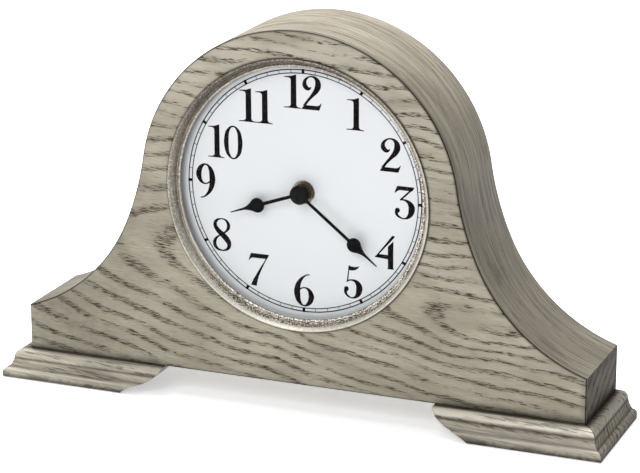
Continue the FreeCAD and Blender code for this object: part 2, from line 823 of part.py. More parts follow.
def hinge_leaf(label, knuckles, side):
    """Both leaves of one side: a flat leaf with its knuckles round the pin's axis."""
    radius = value("hinge_knuckle_radius")
    bore = value("hinge_pin_radius + hinge_pin_clearance")
    leaves = []
    for base in ("low_hinge_z", "high_hinge_z"):
        bottom = value(base)
        solid = Part.makeBox(
            value("hinge_leaf_width"), value("hinge_leaf_thickness"), value("hinge_length"),
            Vector(0, -radius, bottom))
        if side < 0:
            solid.translate(Vector(-value("hinge_leaf_width"), 0, 0))
        third = value("hinge_length") / 3
        gap = value("hinge_knuckle_gap") / 2
        for number in range(3):
            low = bottom + number * third + (gap if number else 0)
            high = bottom + (number + 1) * third - (gap if number < 2 else 0)
            if number in knuckles:
                solid = solid.fuse(Part.makeCylinder(radius, high - low, Vector(0, 0, low)))
            else:
                room = Part.makeCylinder(
                    radius + gap, third + 2 * gap, Vector(0, 0, bottom + number * third - gap))
                solid = solid.cut(room)
        hole = Part.makeCylinder(bore, value("hinge_length"), Vector(0, 0, bottom))
        solid = solid.cut(hole)
        for sign in (1, -1):
            height = bottom + value("hinge_length / 2") + sign * value("hinge_screw_spacing / 2")
            place = Vector(side * value("hinge_screw_offset"), -radius, height)
            through = value("hinge_leaf_thickness")
            solid = solid.cut(Part.makeCylinder(
                value("hinge_screw_radius + joint_gap"), through, place, Vector(0, 1, 0)))
        leaves.append(solid.removeSplitter())
    shaped(label, Part.makeCompound(leaves), PLAN_VIEW, "hinge_x", "hinge_y", "0")


def make_hinges():
    hinge_leaf("hinge_leaves_case", (0, 2), -1)
    hinge_leaf("hinge_leaves_door", (1,), 1)
    pins = []
    for base in ("low_hinge_z", "high_hinge_z"):
        foot = Vector(0, 0, value(base))
        pins.append(Part.makeCylinder(value("hinge_pin_radius"), value("hinge_length"), foot))
    shaped("hinge_pins", Part.makeCompound(pins), PLAN_VIEW, "hinge_x", "hinge_y", "0")


# Screws: each has a domed head with a cross slot and points along its own -z

def screw(kind, countersunk=False):
    radius = value(f"{kind}_radius")
    head_radius = value(f"{kind}_head_radius")
    head = value(f"{kind}_head_height")
    length = value(f"{kind}_length")
    if countersunk:
        solid = Part.makeCone(radius, head_radius, head, Vector(0, 0, -head))
        top = 0
    else:
        ball = (head_radius ** 2 + head ** 2) / (2 * head)
        solid = Part.makeSphere(ball, Vector(0, 0, head - ball))
        solid = solid.common(Part.makeCylinder(head_radius, head))
        top = head
    solid = solid.fuse(Part.makeCylinder(radius, length, Vector(0, 0, -length)))
    width = value("slot_width_share") * head_radius
    depth = value("slot_depth_share") * head
    arm = head_radius
    for long_x, long_y in ((arm, width), (width, arm)):
        slot = Part.makeBox(long_x, long_y, depth + value("overrun"))
        slot.translate(Vector(-long_x / 2, -long_y / 2, top - depth))
        solid = solid.cut(slot)
    return solid.removeSplitter()


def screws(label, kind, heads, pointing, countersunk=False):
    """A group of alike screws; each head sits at its place and the shank points one way."""
    turn = FreeCAD.Rotation(Vector(0, 0, -1), pointing)
    group = []
    for x, y, z in heads:
        one = screw(kind, countersunk)
        one.Placement = FreeCAD.Placement(Vector(value(x), value(y), value(z)), turn)
        group.append(one)
    shaped(label, Part.makeCompound(group), PLAN_VIEW, "0", "0", "0")


def make_back_screws():
    forwards = Vector(0, -1, 0)
    heads = [(x, "back_panel_back", z) for x, z in back_screw_places()]
    screws("back_panel_screws", "back_screw", heads, forwards)
    seat = "back_panel_back + hinge_leaf_thickness"
    for label, offset in (
        ("hinge_screws_case", "-hinge_screw_offset"),
        ("hinge_screws_door", "hinge_screw_offset"),
    ):
        heads = [(x, seat, z) for x, z in hinge_screw_places(offset)]
        screws(label, "hinge_screw", heads, forwards)


# Feet

def foot_screw_places():
    """One screw in each moulding, seen from above, for both feet."""
    found = []
    for sign in ("", "-"):
        found.append((f"{sign}(bracket_toe_x + foot_screw_toe_inset)", "case_front + foot_screw_front_inset"))
        found.append((f"{sign}(half_width - foot_screw_side_inset)", "case_back - foot_screw_rear_inset"))
    return found


def pad_places():
    """Three pads under each foot, seen from above."""
    outer = "(half_width + foot_overhang)"
    front = "case_front - foot_overhang"
    found = []
    for sign in ("", "-"):
        found.append((f"{sign}(bracket_toe_x + pad_toe_inset)", f"{front} + pad_front_inset"))
        found.append((f"{sign}({outer} - pad_corner_inset)", f"{front} + pad_front_inset"))
        found.append((f"{sign}({outer} - pad_side_inset)", "case_back - pad_rear_inset"))
    return found


def foot_profile(outwards):
    """Section of the moulding: bead, cove and band. Reach is counted from the case's face."""
    turn = 1 if outwards.startswith("-") else -1
    return [
        (f"{outwards}(-foot_inner_width)", "foot_height"),
        (f"{outwards}foot_top_reach", "foot_height", "bead_radius", turn),
        (f"{outwards}bead_reach", "bead_bottom_height", "cove_radius", -turn),
        (f"{outwards}cove_reach", "band_height"),
        (f"{outwards}(foot_overhang - band_rounding)", "band_height", "band_rounding", turn),
        (f"{outwards}foot_overhang", "band_height - band_rounding"),
        (f"{outwards}foot_overhang", "pad_proud"),
        (f"{outwards}(-foot_inner_width)", "pad_proud"),
    ]


def under_foot(body, mine, side):
    """Recesses for the pads and holes for the screws that belong to one moulding."""
    def holes_at(found, x_shift, y_shift, radius):
        loops = []
        for x, y in found:
            if value(x) * side > 0:
                loops.append(("circle", f"{x} - ({x_shift})", f"{y} - ({y_shift})", radius))
        return loops
    x_shift, y_shift = mine["origin"]
    recess = holes_at([pad_places()[i] for i in mine["pads"]], x_shift, y_shift, "pad_radius + pad_clearance")
    top = "pad_thickness"
    pocket(body, draw(body, "pad_recess", "XY_Plane", recess, top), "pad_thickness")
    found = [foot_screw_places()[i] for i in mine["screws"]]
    bore = holes_at(found, x_shift, y_shift, "foot_screw_radius + joint_gap")
    pocket(body, draw(body, "screw_hole", "XY_Plane", bore))
    wide = holes_at(found, x_shift, y_shift, "foot_screw_counterbore_radius")
    depth = "pad_proud + foot_screw_counterbore_depth + foot_screw_head_height"
    pocket(body, draw(body, "counterbore", "XY_Plane", wide, depth), depth)


def make_front_foot(label, side):
    """Moulding along the front: mitred at the outer corner, cut to a bracket at the inner end."""
    sign = "" if side > 0 else "-"
    body = new_body(label, PLAN_VIEW, "0", "case_front", "0")
    start = "bracket_top_x" if side > 0 else "-(half_width + foot_overhang)"
    sketch = draw(body, "section", "YZ_Plane", [foot_profile("-")], start)
    pad(body, sketch, "foot_top_length + foot_overhang")
    outer = f"{sign}(half_width + foot_overhang + overrun)"
    mitre_end = f"{sign}(half_width - foot_inner_width - overrun)"
    mitre = [(outer, "-foot_overhang - overrun"), (outer, "foot_inner_width + overrun"),
             (mitre_end, "foot_inner_width + overrun")]
    pocket(body, draw(body, "mitre", "XY_Plane", [mitre]))
    turn = 1 if side > 0 else -1
    clear = f"{sign}(bracket_top_x - overrun)"
    bracket = [
        (f"{sign}bracket_top_x", "foot_height", "foot_end_upper_radius", turn),
        (f"{sign}bracket_waist_x", "band_height", "foot_end_lower_radius", -turn),
        (f"{sign}bracket_toe_x", "pad_proud"),
        (f"{sign}bracket_toe_x", "pad_proud - overrun"),
        (clear, "pad_proud - overrun"),
        (clear, "foot_height"),
    ]
    pocket(body, draw(body, "bracket", "XZ_Plane", [bracket]))
    first = 0 if side > 0 else 3
    mine = {"origin": ("0", "case_front"), "pads": (first, first + 1), "screws": (0 if side > 0 else 2,)}
    under_foot(body, mine, side)


def make_side_foot(label, side):
    """Moulding along the end of the case, mitred at the front and square at the back."""
    sign = "" if side > 0 else "-"
    body = new_body(label, PLAN_VIEW, f"{sign}half_width", "0", "0")
    sketch = draw(body, "section", "XZ_Plane", [foot_profile(sign)], "-case_back")
    pad(body, sketch, "case_depth + foot_overhang")
    inner = f"-{sign}(foot_inner_width + overrun)".replace("--", "")
    outer = f"{sign}(foot_overhang + overrun)"
    mitre = [(outer, "case_front - foot_overhang - overrun"),
             (inner, "case_front + foot_inner_width + overrun"),
             (inner, "case_front - foot_overhang - overrun")]
    pocket(body, draw(body, "mitre", "XY_Plane", [mitre]))
    mine = {"origin": (f"{sign}half_width", "0"), "pads": (2 if side > 0 else 5,),
            "screws": (1 if side > 0 else 3,)}
    under_foot(body, mine, side)


def make_feet():
    for name, side in (("right", 1), ("left", -1)):
        make_front_foot(f"foot_front_{name}", side)
        make_side_foot(f"foot_side_{name}", side)
    discs = []
    for x, y in pad_places():
        foot = Vector(value(x), value(y), 0)
        discs.append(Part.makeCylinder(value("pad_radius"), value("pad_thickness"), foot))
    shaped("foot_pads", Part.makeCompound(discs), PLAN_VIEW, "0", "0", "0")
    seat = "pad_proud + foot_screw_counterbore_depth"
    heads = [(x, y, seat) for x, y in foot_screw_places()]
    screws("foot_screws", "foot_screw", heads, Vector(0, 0, 1), countersunk=True)


# Dial, bezel and glass, seen from the front; heights are counted forwards from the dial's face

DIAL = (FRONT_VIEW, "0", "panel_back", "dial_centre")
MOVEMENT = (FRONT_VIEW, "0", "movement_front", "dial_centre")


def make_bezel():
    """A ring with a flange on the panel, a funnel inwards, a beaded lip and a sleeve."""
    crest = "face_height + bezel_crest_height"
    profile = [
        ("sleeve_outer_radius", "spacer_height"),
        ("sleeve_outer_radius", "face_height"),
        ("bezel_radius", "face_height"),
        ("bezel_radius", "face_height + bezel_edge_height"),
        ("bezel_crest_radius + bezel_crest_width / 2", crest),
        ("bezel_crest_radius - bezel_crest_width / 2", crest, "bezel_funnel_bulge", 1),
        ("bezel_funnel_radius", "face_height - bezel_funnel_depth"),
        ("bezel_funnel_radius", "lip_front - bezel_groove_width"),
        ("bezel_funnel_radius - bezel_groove_width", "lip_front - bezel_groove_width"),
        ("bezel_lip_radius + bezel_lip_bead", "lip_front", "bezel_lip_bead", 1),
        ("bezel_lip_radius", "lip_front - bezel_groove_width"),
        ("bezel_lip_radius", "lip_back"),
        ("sleeve_inner_radius", "lip_back"),
        ("sleeve_inner_radius", "spacer_height"),
    ]
    turned_piece("bezel_ring", profile, *DIAL)


def make_glass():
    """A domed glass with a flat rim behind the bezel's lip."""
    inner = "((glass_dome_radius ^ 2 + glass_rise ^ 2) / (2 * glass_rise))"
    profile = [
        ("0", "glass_back + glass_rise"),
        ("0", "glass_back + glass_rise + glass_thickness", inner, -1),
        ("glass_dome_radius", "glass_back + glass_thickness"),
        ("glass_radius", "glass_back + glass_thickness"),
        ("glass_radius", "glass_back"),
        ("glass_dome_radius", "glass_back", inner, 1),
    ]
    turned_piece("glass_dome", profile, *DIAL)
    ring = rectangle("spacer_bore_radius", "spacer_height", "glass_radius", "glass_back")
    turned_piece("glass_retaining_ring", ring, *DIAL)
    spacer = rectangle("spacer_bore_radius", "0", "sleeve_outer_radius", "spacer_height")
    turned_piece("dial_spacer_ring", spacer, *DIAL)


def make_dial():
    loops = [("circle", "0", "dial_centre", "dial_radius"), ("circle", "0", "dial_centre", "dial_hole_radius")]
    loops += [("circle", x, z, "dial_screw_radius + joint_gap") for x, z in dial_screw_places()]
    flat_piece("dial_plate", loops, "panel_back + dial_thickness", "dial_thickness")
    heads = [(x, "panel_back + dial_thickness", z) for x, z in dial_screw_places()]
    screws("dial_screws", "dial_screw", heads, Vector(0, -1, 0))


def make_dial_fixings():
    bore = "post_radius + joint_gap"
    washer = rectangle(bore, "0", "dial_washer_radius", "dial_washer_thickness")
    turned_piece("dial_washer", washer, *DIAL)
    top = "dial_washer_thickness + nut_height"
    nut = [
        (bore, "dial_washer_thickness"),
        ("nut_radius", "dial_washer_thickness"),
        ("nut_radius", f"{top} - nut_step_height"),
        ("nut_step_radius", f"{top} - nut_step_height"),
        ("nut_step_radius", top),
        (bore, top),
    ]
    turned_piece("dial_nut", nut, *DIAL)
    rubber = rectangle(bore, "0", "rubber_washer_radius", "rubber_washer_thickness")
    turned_piece("rubber_washer", rubber, *MOVEMENT)
    flange = "-(movement_base + post_flange_thickness)"
    post = [
        ("post_bore_radius", flange),
        ("post_flange_radius", flange),
        ("post_flange_radius", "-movement_base"),
        ("post_radius", "-movement_base"),
        ("post_radius", "dial_to_movement + post_height"),
        ("post_bore_radius", "dial_to_movement + post_height"),
    ]
    turned_piece("threaded_post", post, *MOVEMENT)


# Hands

def hand_outline(kind):
    """A spade hand that points up, drawn round its pivot."""
    distance, spade = f"{kind}_spade_distance", f"{kind}_spade_radius"
    half, tip = f"({kind}_shaft_width / 2)", "(hand_tip_width / 2)"
    neck = "(spade_neck_width / 2)"
    near = f"{distance} - sqrt({spade} ^ 2 - {half} ^ 2)"
    shoulder_x = f"{spade} * cos(spade_shoulder_angle)"
    shoulder_y = f"{distance} + {spade} * sin(spade_shoulder_angle)"
    belly = f"{distance} - {spade} * cos(spade_belly_angle)"
    belly_x = f"{spade} * sin(spade_belly_angle)"
    return [
        (half, "0"),
        (half, near, spade, 1),
        (belly_x, belly, spade, 1),
        (shoulder_x, shoulder_y, "spade_taper_radius", -1),
        (neck, f"{distance} + spade_neck_reach"),
        (tip, f"{kind}_hand_length"),
        (f"-{tip}", f"{kind}_hand_length"),
        (f"-{neck}", f"{distance} + spade_neck_reach", "spade_taper_radius", -1),
        (f"-({shoulder_x})", shoulder_y, spade, 1),
        (f"-({belly_x})", belly, spade, 1),
        (f"-{half}", near),
        (f"-{half}", "0"),
    ]


def make_hand(kind, bore):
    clockwise = FreeCAD.Rotation(Vector(0, 0, 1), -value(f"{kind}_angle"))
    body = new_body(f"{kind}_hand", FRONT_VIEW.multiply(clockwise), "0", "panel_back", "dial_centre")
    pad(body, draw(body, "blade", "XY_Plane", [hand_outline(kind)], f"{kind}_hand_height"), "hand_thickness")
    hub = draw(body, "hub", "XY_Plane", [("circle", "0", "0", f"{kind}_hub_radius")], f"{kind}_hand_height")
    pad(body, hub, f"{kind}_hub_height")
    pocket(body, draw(body, "bore", "XY_Plane", [("circle", "0", "0", bore)]))


def make_hands():
    make_hand("hour", "hour_tube_radius")
    make_hand("minute", "arbor_radius")
    seat = "minute_hand_height + minute_hub_height"
    dome_rise = "(hand_cap_height - hand_cap_edge_height)"
    dome = f"(hand_cap_radius ^ 2 + {dome_rise} ^ 2) / (2 * {dome_rise})"
    cap = [
        ("0", seat),
        ("hand_cap_radius", seat),
        ("hand_cap_radius", f"{seat} + hand_cap_edge_height", dome, 1),
        ("0", f"{seat} + hand_cap_height"),
    ]
    turned_piece("hand_cap", cap, *DIAL)


# Wheels and pinions

PRESSURE_ANGLE = math.radians(20)
FLANK_STEPS = 2


def involute(angle):
    return math.tan(angle) - angle


def gear_outline(teeth, module, phase):
    """Closed outline of an involute gear with one tooth centred on the phase angle."""
    pitch = teeth * module / 2
    base = pitch * math.cos(PRESSURE_ANGLE)
    tip = pitch + value("addendum_share") * module
    root = pitch - value("dedendum_share") * module
    half_tooth = value("tooth_width_share") * math.pi / teeth
    low = max(base, root)
    flank = [(root, half_tooth + involute(PRESSURE_ANGLE))] if root < base else []
    for step in range(FLANK_STEPS + 1):
        radius = low + (tip - low) * step / FLANK_STEPS
        angle = math.acos(min(base / radius, 1))
        flank.append((radius, half_tooth + involute(PRESSURE_ANGLE) - involute(angle)))
    points = []
    for tooth in range(teeth):
        middle = phase + tooth * 2 * math.pi / teeth
        for radius, half in flank:
            points.append(Vector(radius * math.cos(middle - half), radius * math.sin(middle - half), 0))
        for radius, half in reversed(flank):
            points.append(Vector(radius * math.cos(middle + half), radius * math.sin(middle + half), 0))
    return points + points[:1]


def teeth_of(name):
    return round(value(f"{name}_teeth"))


def wheel_disc(name, module, phase, back):
    """A wheel's toothed disc, which reaches forwards from its back face."""
    face = Part.Face(Part.makePolygon(gear_outline(teeth_of(name), value(module), phase)))
    disc = face.extrude(Vector(0, 0, value("gear_thickness")))
    disc.translate(Vector(0, 0, back))
    return disc


def pinion_disc(name, module, phase, back):
    """A pinion's teeth, a little wider than the wheel that they mesh with."""
    extra = value("pinion_extra")
    face = Part.Face(Part.makePolygon(gear_outline(teeth_of(name), value(module), phase)))
    disc = face.extrude(Vector(0, 0, value("gear_thickness") + 2 * extra))
    disc.translate(Vector(0, 0, back - extra))
    return disc


def rod(radius, back, front):
    return Part.makeCylinder(radius, front - back, Vector(0, 0, back))


def bearing(name):
    """Direction from one arbor to the next."""
    return math.radians(value(f"{name}_bearing_angle"))


def mesh_phase(driver, driver_phase, follower, direction):
    """Phase that puts the follower's gap on the driver's tooth along the line of centres."""
    driver_pitch = 2 * math.pi / teeth_of(driver)
    follower_pitch = 2 * math.pi / teeth_of(follower)
    passed = (direction - driver_phase) / driver_pitch
    return direction + math.pi + (passed + 0.5) * follower_pitch


def layer(word):
    """Back face of a wheel's disc, counted forwards from the movement's front face."""
    return -value(f"{word}_depth + gear_thickness")


def on_arbor(label, solids, arbor=None):
    """Join a wheel's solids and place them on their arbor."""
    solid = solids[0]
    for other in solids[1:]:
        solid = solid.fuse(other)
    x, z = (f"{arbor}_x", f"dial_centre + {arbor}_z") if arbor else ("0", "dial_centre")
    shaped(label, solid.removeSplitter(), FRONT_VIEW, x, "movement_front", z)


def make_train():
    """The going train from the centre wheel back to the rotor, each wheel on its own arbor."""
    thin = value("thin_arbor_radius")
    pivot = value("pivot_radius")
    extra = value("pinion_extra")
    plate_front = extra - value("train_plate_depth")
    end = -value("arbor_end_depth")
    rise = value("dial_to_movement + minute_hand_height + minute_hub_height")

    # centre arbor: cannon pinion in front of the plate, centre wheel behind it
    phase = bearing("third")
    on_arbor("centre_wheel", [
        rod(value("arbor_radius"), layer("motion_wheel") - extra, rise),
        pinion_disc("cannon", "motion_module", bearing("motion"), layer("motion_wheel")),
        rod(thin, end, layer("motion_wheel")),
        wheel_disc("centre", "centre_module", phase, layer("centre_wheel")),
    ])
    stages = (
        ("third", "centre", "centre_module", "second"),
        ("second", "third", "train_module", "intermediate"),
        ("intermediate", "second", "train_module", "rotor"),
    )
    for name, driver, module, onward in stages:
        pinion_phase = mesh_phase(driver, phase, f"{name}_pinion", bearing(name))
        phase = bearing(onward)
        on_arbor(f"{name}_wheel", [
            rod(pivot, end, plate_front),
            pinion_disc(f"{name}_pinion", module, pinion_phase, layer(f"{driver}_wheel")),
            wheel_disc(name, "train_module", phase, layer(f"{name}_wheel")),
        ], name)
    rotor_phase = mesh_phase("intermediate", phase, "rotor", bearing("rotor"))
    magnet_front = -value("magnet_depth")
    on_arbor("rotor", [
        rod(pivot, end, plate_front),
        pinion_disc("rotor", "train_module", rotor_phase, layer("intermediate_wheel")),
        rod(value("magnet_radius"), magnet_front - value("magnet_height"), magnet_front),
    ], "rotor")


def make_motion_work():
    """The reduction by twelve from the minute arbor to the hour tube, and the setting knob."""
    wheel_phase = mesh_phase("cannon", bearing("motion"), "motion_wheel", bearing("motion"))
    inwards = bearing("motion") + math.pi
    bore = value("stud_radius + running_clearance")
    wheel = wheel_disc("motion_wheel", "motion_module", wheel_phase, layer("motion_wheel"))
    pinion = pinion_disc("motion_pinion", "hour_module", inwards, layer("hour_wheel"))
    hub = rod(bore * value("motion_hub_share"), layer("motion_wheel"), layer("hour_wheel"))
    hole = rod(bore, -value("movement_depth"), 0)
    on_arbor("motion_wheel", [wheel.cut(hole), pinion.cut(hole), hub.cut(hole)], "motion")

    hour_phase = mesh_phase("motion_pinion", inwards, "hour", inwards)
    top = value("dial_to_movement + hour_hand_height + hour_hub_height")
    disc = wheel_disc("hour", "hour_module", hour_phase, layer("hour_wheel"))
    tube = rod(value("hour_tube_radius"), layer("hour_wheel"), top)
    hole = rod(value("arbor_radius + running_clearance"), -value("movement_depth"), top)
    on_arbor("hour_wheel", [disc.cut(hole), tube.cut(hole)])

    setting_phase = mesh_phase("motion_wheel", wheel_phase, "setting", bearing("setting"))
    knob_front = -value("movement_depth + setting_knob_gap")
    knob_back = knob_front - value("setting_knob_height")
    knob = rod(value("setting_knob_radius"), knob_back, knob_front)
    back_edges = [edge for edge in knob.Edges if edge.BoundBox.ZMax < knob_back + TOLERANCE]
    on_arbor("setting_knob", [
        rod(value("setting_shaft_radius"), knob_front, layer("motion_wheel")),
        pinion_disc("setting", "motion_module", setting_phase, layer("motion_wheel")),
        knob.makeFillet(value("setting_knob_rounding"), back_edges),
    ], "setting")


# Movement case and what it holds

THIN_ARBORS = ("third", "second", "intermediate", "rotor")


def square_loop():
    return rectangle("-movement_half", "-movement_half", "movement_half", "movement_half")


def rooms():
    """Inside of the case: the train's room above and the battery's bay below."""
    return [
        rectangle("-movement_inside", "train_bottom", "movement_inside", "movement_inside"),
        rectangle("-movement_inside", "bay_bottom", "movement_inside", "bay_top"),
    ]


def corner_edges(edge):
    box = edge.BoundBox
    return box.XLength < TOLERANCE and box.YLength < TOLERANCE


def case_half(label, back, length):
    body = new_body(label, *MOVEMENT)
    block = pad(body, draw(body, "block", "XY_Plane", [square_loop()], back), length)
    round_edges(body, block, corner_edges, "movement_corner_rounding")
    return body


def pivot_holes():
    """Bearing holes for the centre arbor and the thin arbors."""
    holes = [("circle", "0", "0", "thin_arbor_radius + running_clearance")]
    radius = "pivot_radius + running_clearance"
    return holes + [("circle", f"{name}_x", f"{name}_z", radius) for name in THIN_ARBORS]


def make_movement_case():
    body = case_half("movement_front_case", "-movement_split_depth", "movement_split_depth")
    pocket(body, draw(body, "rooms", "XY_Plane", rooms(), "-movement_base"), "movement_split_depth")
    centre = [("circle", "0", "0", "post_radius + joint_gap")]
    pocket(body, draw(body, "post_hole", "XY_Plane", centre))
    stud = [("circle", "motion_x", "motion_z", "stud_radius")]
    sketch = draw(body, "stud", "XY_Plane", stud, "-(train_plate_depth - joint_gap)")
    pad(body, sketch, "train_plate_depth - movement_base / 2")
    inset = "(movement_inside - pillar_inset)"
    low = "train_bottom + pillar_inset"
    pillars = [(f"-{inset}", low), (f"-{inset}", inset), (inset, low), (inset, inset)]
    pillars = [("circle", x, z, "pillar_radius") for x, z in pillars]
    sketch = draw(body, "pillars", "XY_Plane", pillars, "-train_plate_depth")
    pad(body, sketch, "train_plate_depth - movement_base / 2")

    body = case_half("movement_rear_case", "-movement_depth", "movement_depth - movement_split_depth")
    train, bay = rooms()
    wall = "movement_depth - movement_wall"
    reach = "movement_depth - movement_split_depth - movement_wall"
    pocket(body, draw(body, "train_room", "XY_Plane", [train], "-movement_split_depth"), reach)
    pocket(body, draw(body, "bay", "XY_Plane", [bay]))
    shaft = [("circle", "setting_x", "setting_z", "setting_shaft_radius + running_clearance")]
    pocket(body, draw(body, "shaft_hole", "XY_Plane", shaft))
    bosses = [("circle", "0", "0", "boss_radius")]
    bosses += [("circle", f"{name}_x", f"{name}_z", "boss_radius") for name in THIN_ARBORS]
    sketch = draw(body, "bosses", "XY_Plane", bosses, f"-({wall})")
    pad(body, sketch, "boss_height")
    sketch = draw(body, "pivot_holes", "XY_Plane", pivot_holes(), f"boss_height - ({wall})")
    pocket(body, sketch, f"arbor_end_depth + joint_gap + boss_height - ({wall})")


def make_train_plate():
    gap = "(movement_inside - joint_gap)"
    loops = [rectangle(f"-{gap}", "train_bottom + joint_gap", gap, gap)]
    loops += pivot_holes()
    loops.append(("circle", "setting_x", "setting_z", "setting_shaft_radius + running_clearance"))
    body = new_body("train_plate", *MOVEMENT)
    sketch = draw(body, "outline", "XY_Plane", loops, "-(train_plate_depth + train_plate_thickness)")
    pad(body, sketch, "train_plate_thickness")


def make_motor():
    """Stator plate round the rotor, and the coil on its core between the stator's legs."""
    legs = [
        ("stator_left", "stator_bottom"),
        ("stator_right", "stator_bottom"),
        ("stator_right", "stator_top"),
        ("stator_right - stator_leg_width", "stator_top"),
        ("stator_right - stator_leg_width", "stator_shoulder"),
        ("stator_left + stator_leg_width", "stator_shoulder"),
        ("stator_left + stator_leg_width", "stator_top"),
        ("stator_left", "stator_top"),
    ]
    body = new_body("stator", *MOVEMENT)
    loops = [legs, ("circle", "rotor_x", "rotor_z", "stator_hole_radius")]
    sketch = draw(body, "outline", "XY_Plane", loops, "-(stator_depth + stator_thickness)")
    pad(body, sketch, "stator_thickness")

    left = value("stator_left + stator_leg_width")
    right = value("stator_right - stator_leg_width")
    along = Vector(1, 0, 0)
    middle = Vector(left, value("coil_axis_height"), -value("stator_depth + stator_thickness / 2"))
    flange = value("coil_flange_thickness")
    bobbin = Part.makeCylinder(value("coil_core_radius"), right - left, middle, along)
    for start in (left, right - flange):
        place = Vector(start, middle.y, middle.z)
        bobbin = bobbin.fuse(Part.makeCylinder(value("coil_flange_radius"), flange, place, along))
    shaped("coil_bobbin", bobbin.removeSplitter(), *MOVEMENT)
    place = Vector(left + flange, middle.y, middle.z)
    length = right - left - 2 * flange
    winding = Part.makeCylinder(value("coil_winding_radius"), length, place, along)
    winding = winding.cut(Part.makeCylinder(value("coil_core_radius"), length, place, along))
    shaped("coil_winding", winding, *MOVEMENT)


def make_circuit():
    left = "board_left_gap - movement_inside"
    body = new_body("circuit_board", *MOVEMENT)
    outline = rectangle(left, "board_bottom", f"{left} + board_width", "board_bottom + board_height")
    top = "train_plate_depth + train_plate_thickness"
    pad(body, draw(body, "outline", "XY_Plane", [outline], f"-({top} + board_thickness)"), "board_thickness")
    middle_x = value(f"{left} + board_width / 2")
    back = -value(f"{top} + board_thickness")
    chip = Vector(middle_x, value("board_bottom + board_height / 4"), back)
    ball = value("(chip_radius ^ 2 + chip_height ^ 2) / (2 * chip_height)")
    dome = Part.makeSphere(ball, chip + Vector(0, 0, ball - value("chip_height")))
    dome = dome.common(Part.makeCylinder(value("chip_radius"), value("chip_height"), chip, Vector(0, 0, -1)))
    shaped("chip", dome, *MOVEMENT)
    can = Vector(middle_x, value("board_bottom + board_height / 2"), back - value("quartz_radius"))
    can = Part.makeCylinder(value("quartz_radius"), value("quartz_length"), can, Vector(0, 1, 0))
    shaped("quartz_crystal", can, *MOVEMENT)


def make_battery():
    """A standard cell lying across the bay, its cap to the right, and the two contacts."""
    right = "movement_inside - contact_thickness - joint_gap"
    body_length = "(battery_length - battery_nub_length)"
    rounding = "battery_edge_rounding"
    profile = [
        ("0", "0"),
        (f"battery_radius - {rounding}", "0", rounding, 1),
        ("battery_radius", rounding),
        ("battery_radius", f"{body_length} - {rounding}", rounding, 1),
        (f"battery_radius - {rounding}", body_length),
        ("battery_nub_radius", body_length),
        ("battery_nub_radius", "battery_length"),
        ("0", "battery_length"),
    ]
    lying = FreeCAD.Rotation(Vector(0, 1, 0), 90)
    turned_piece("battery_cell", profile, lying, f"{right} - battery_length",
                 "movement_front + battery_depth", "dial_centre + battery_axis")

    low = "battery_axis - contact_height / 2"
    plate_back = "-(battery_depth + contact_width / 2)"
    body = new_body("contact_positive", *MOVEMENT)
    outline = rectangle("movement_inside - contact_thickness", low, "movement_inside", f"{low} + contact_height")
    pad(body, draw(body, "outline", "XY_Plane", [outline], plate_back), "contact_width")

    # the negative contact is a leaf that bows out to the cell's flat end
    tip = f"{right} - battery_length - joint_gap"
    wall = "-movement_inside"
    thick = "contact_thickness"
    middle = "battery_axis"
    top = f"{low} + contact_height"
    outline = [
        (wall, low),
        (f"{wall} + {thick}", low),
        (tip, middle),
        (f"{wall} + {thick}", top),
        (wall, top),
        (wall, f"{top} - {thick}"),
        (f"{tip} - {thick}", middle),
        (wall, f"{low} + {thick}"),
    ]
    body = new_body("contact_negative", *MOVEMENT)
    pad(body, draw(body, "outline", "XY_Plane", [outline], plate_back), "contact_width")


def check_and_write():
    """Stop if a feature failed, a cut took nothing or a sub-part isn't a sound solid."""
    doc.recompute()
    for item in doc.Objects:
        if "Invalid" in item.State or "Error" in item.State:
            raise ValueError(item.Label + " failed: " + str(item.State))
    for cut in cuts:
        if cut.BaseFeature.Shape.Volume - cut.Shape.Volume <= 0:
            raise ValueError(cut.Label + " cut nothing")
    for node in nodes:
        if node.Shape.isNull() or not node.Shape.isValid() or not node.Shape.Solids:
            raise ValueError(node.Label + " has no sound solid")
    for node in nodes:
        node.Shape.exportStep("parts/" + node.Label + ".step")
        print(node.Label, len(node.Shape.Solids), round(node.Shape.Volume, 1))


make_front_panel()
make_cover()
make_end_panel("end_panel_right", 1)
make_end_panel("end_panel_left", -1)
make_bottom_board()
make_back_panel()
make_rails()
make_door()
make_door_knob()
make_catch()
make_hinges()
make_back_screws()
make_feet()
make_bezel()
make_glass()
make_dial()
make_dial_fixings()
make_hands()
make_train()
make_motion_work()
make_movement_case()
make_train_plate()
make_motor()
make_circuit()
make_battery()
check_and_write()
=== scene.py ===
import json
from math import atan2, cos, degrees, hypot, pi, radians, sin, sqrt

import bpy
from mathutils import Matrix, Vector


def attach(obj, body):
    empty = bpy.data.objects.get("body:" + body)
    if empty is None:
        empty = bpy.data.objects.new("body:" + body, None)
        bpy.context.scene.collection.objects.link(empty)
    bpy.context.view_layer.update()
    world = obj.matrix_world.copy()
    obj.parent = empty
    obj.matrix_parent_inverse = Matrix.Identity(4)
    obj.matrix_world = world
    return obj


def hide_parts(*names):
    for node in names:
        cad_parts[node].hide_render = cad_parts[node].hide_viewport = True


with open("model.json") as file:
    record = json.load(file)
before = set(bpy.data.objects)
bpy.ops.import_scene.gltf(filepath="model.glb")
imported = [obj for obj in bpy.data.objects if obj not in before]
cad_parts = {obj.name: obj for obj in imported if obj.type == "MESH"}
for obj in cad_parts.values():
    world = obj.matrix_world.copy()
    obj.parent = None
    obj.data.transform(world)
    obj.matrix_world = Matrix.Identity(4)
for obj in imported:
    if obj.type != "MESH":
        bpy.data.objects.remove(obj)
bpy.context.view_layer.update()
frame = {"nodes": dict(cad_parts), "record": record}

MM = 0.001

# how near two places count as one
HAIR = 0.00001
CLOSE = 0.0001

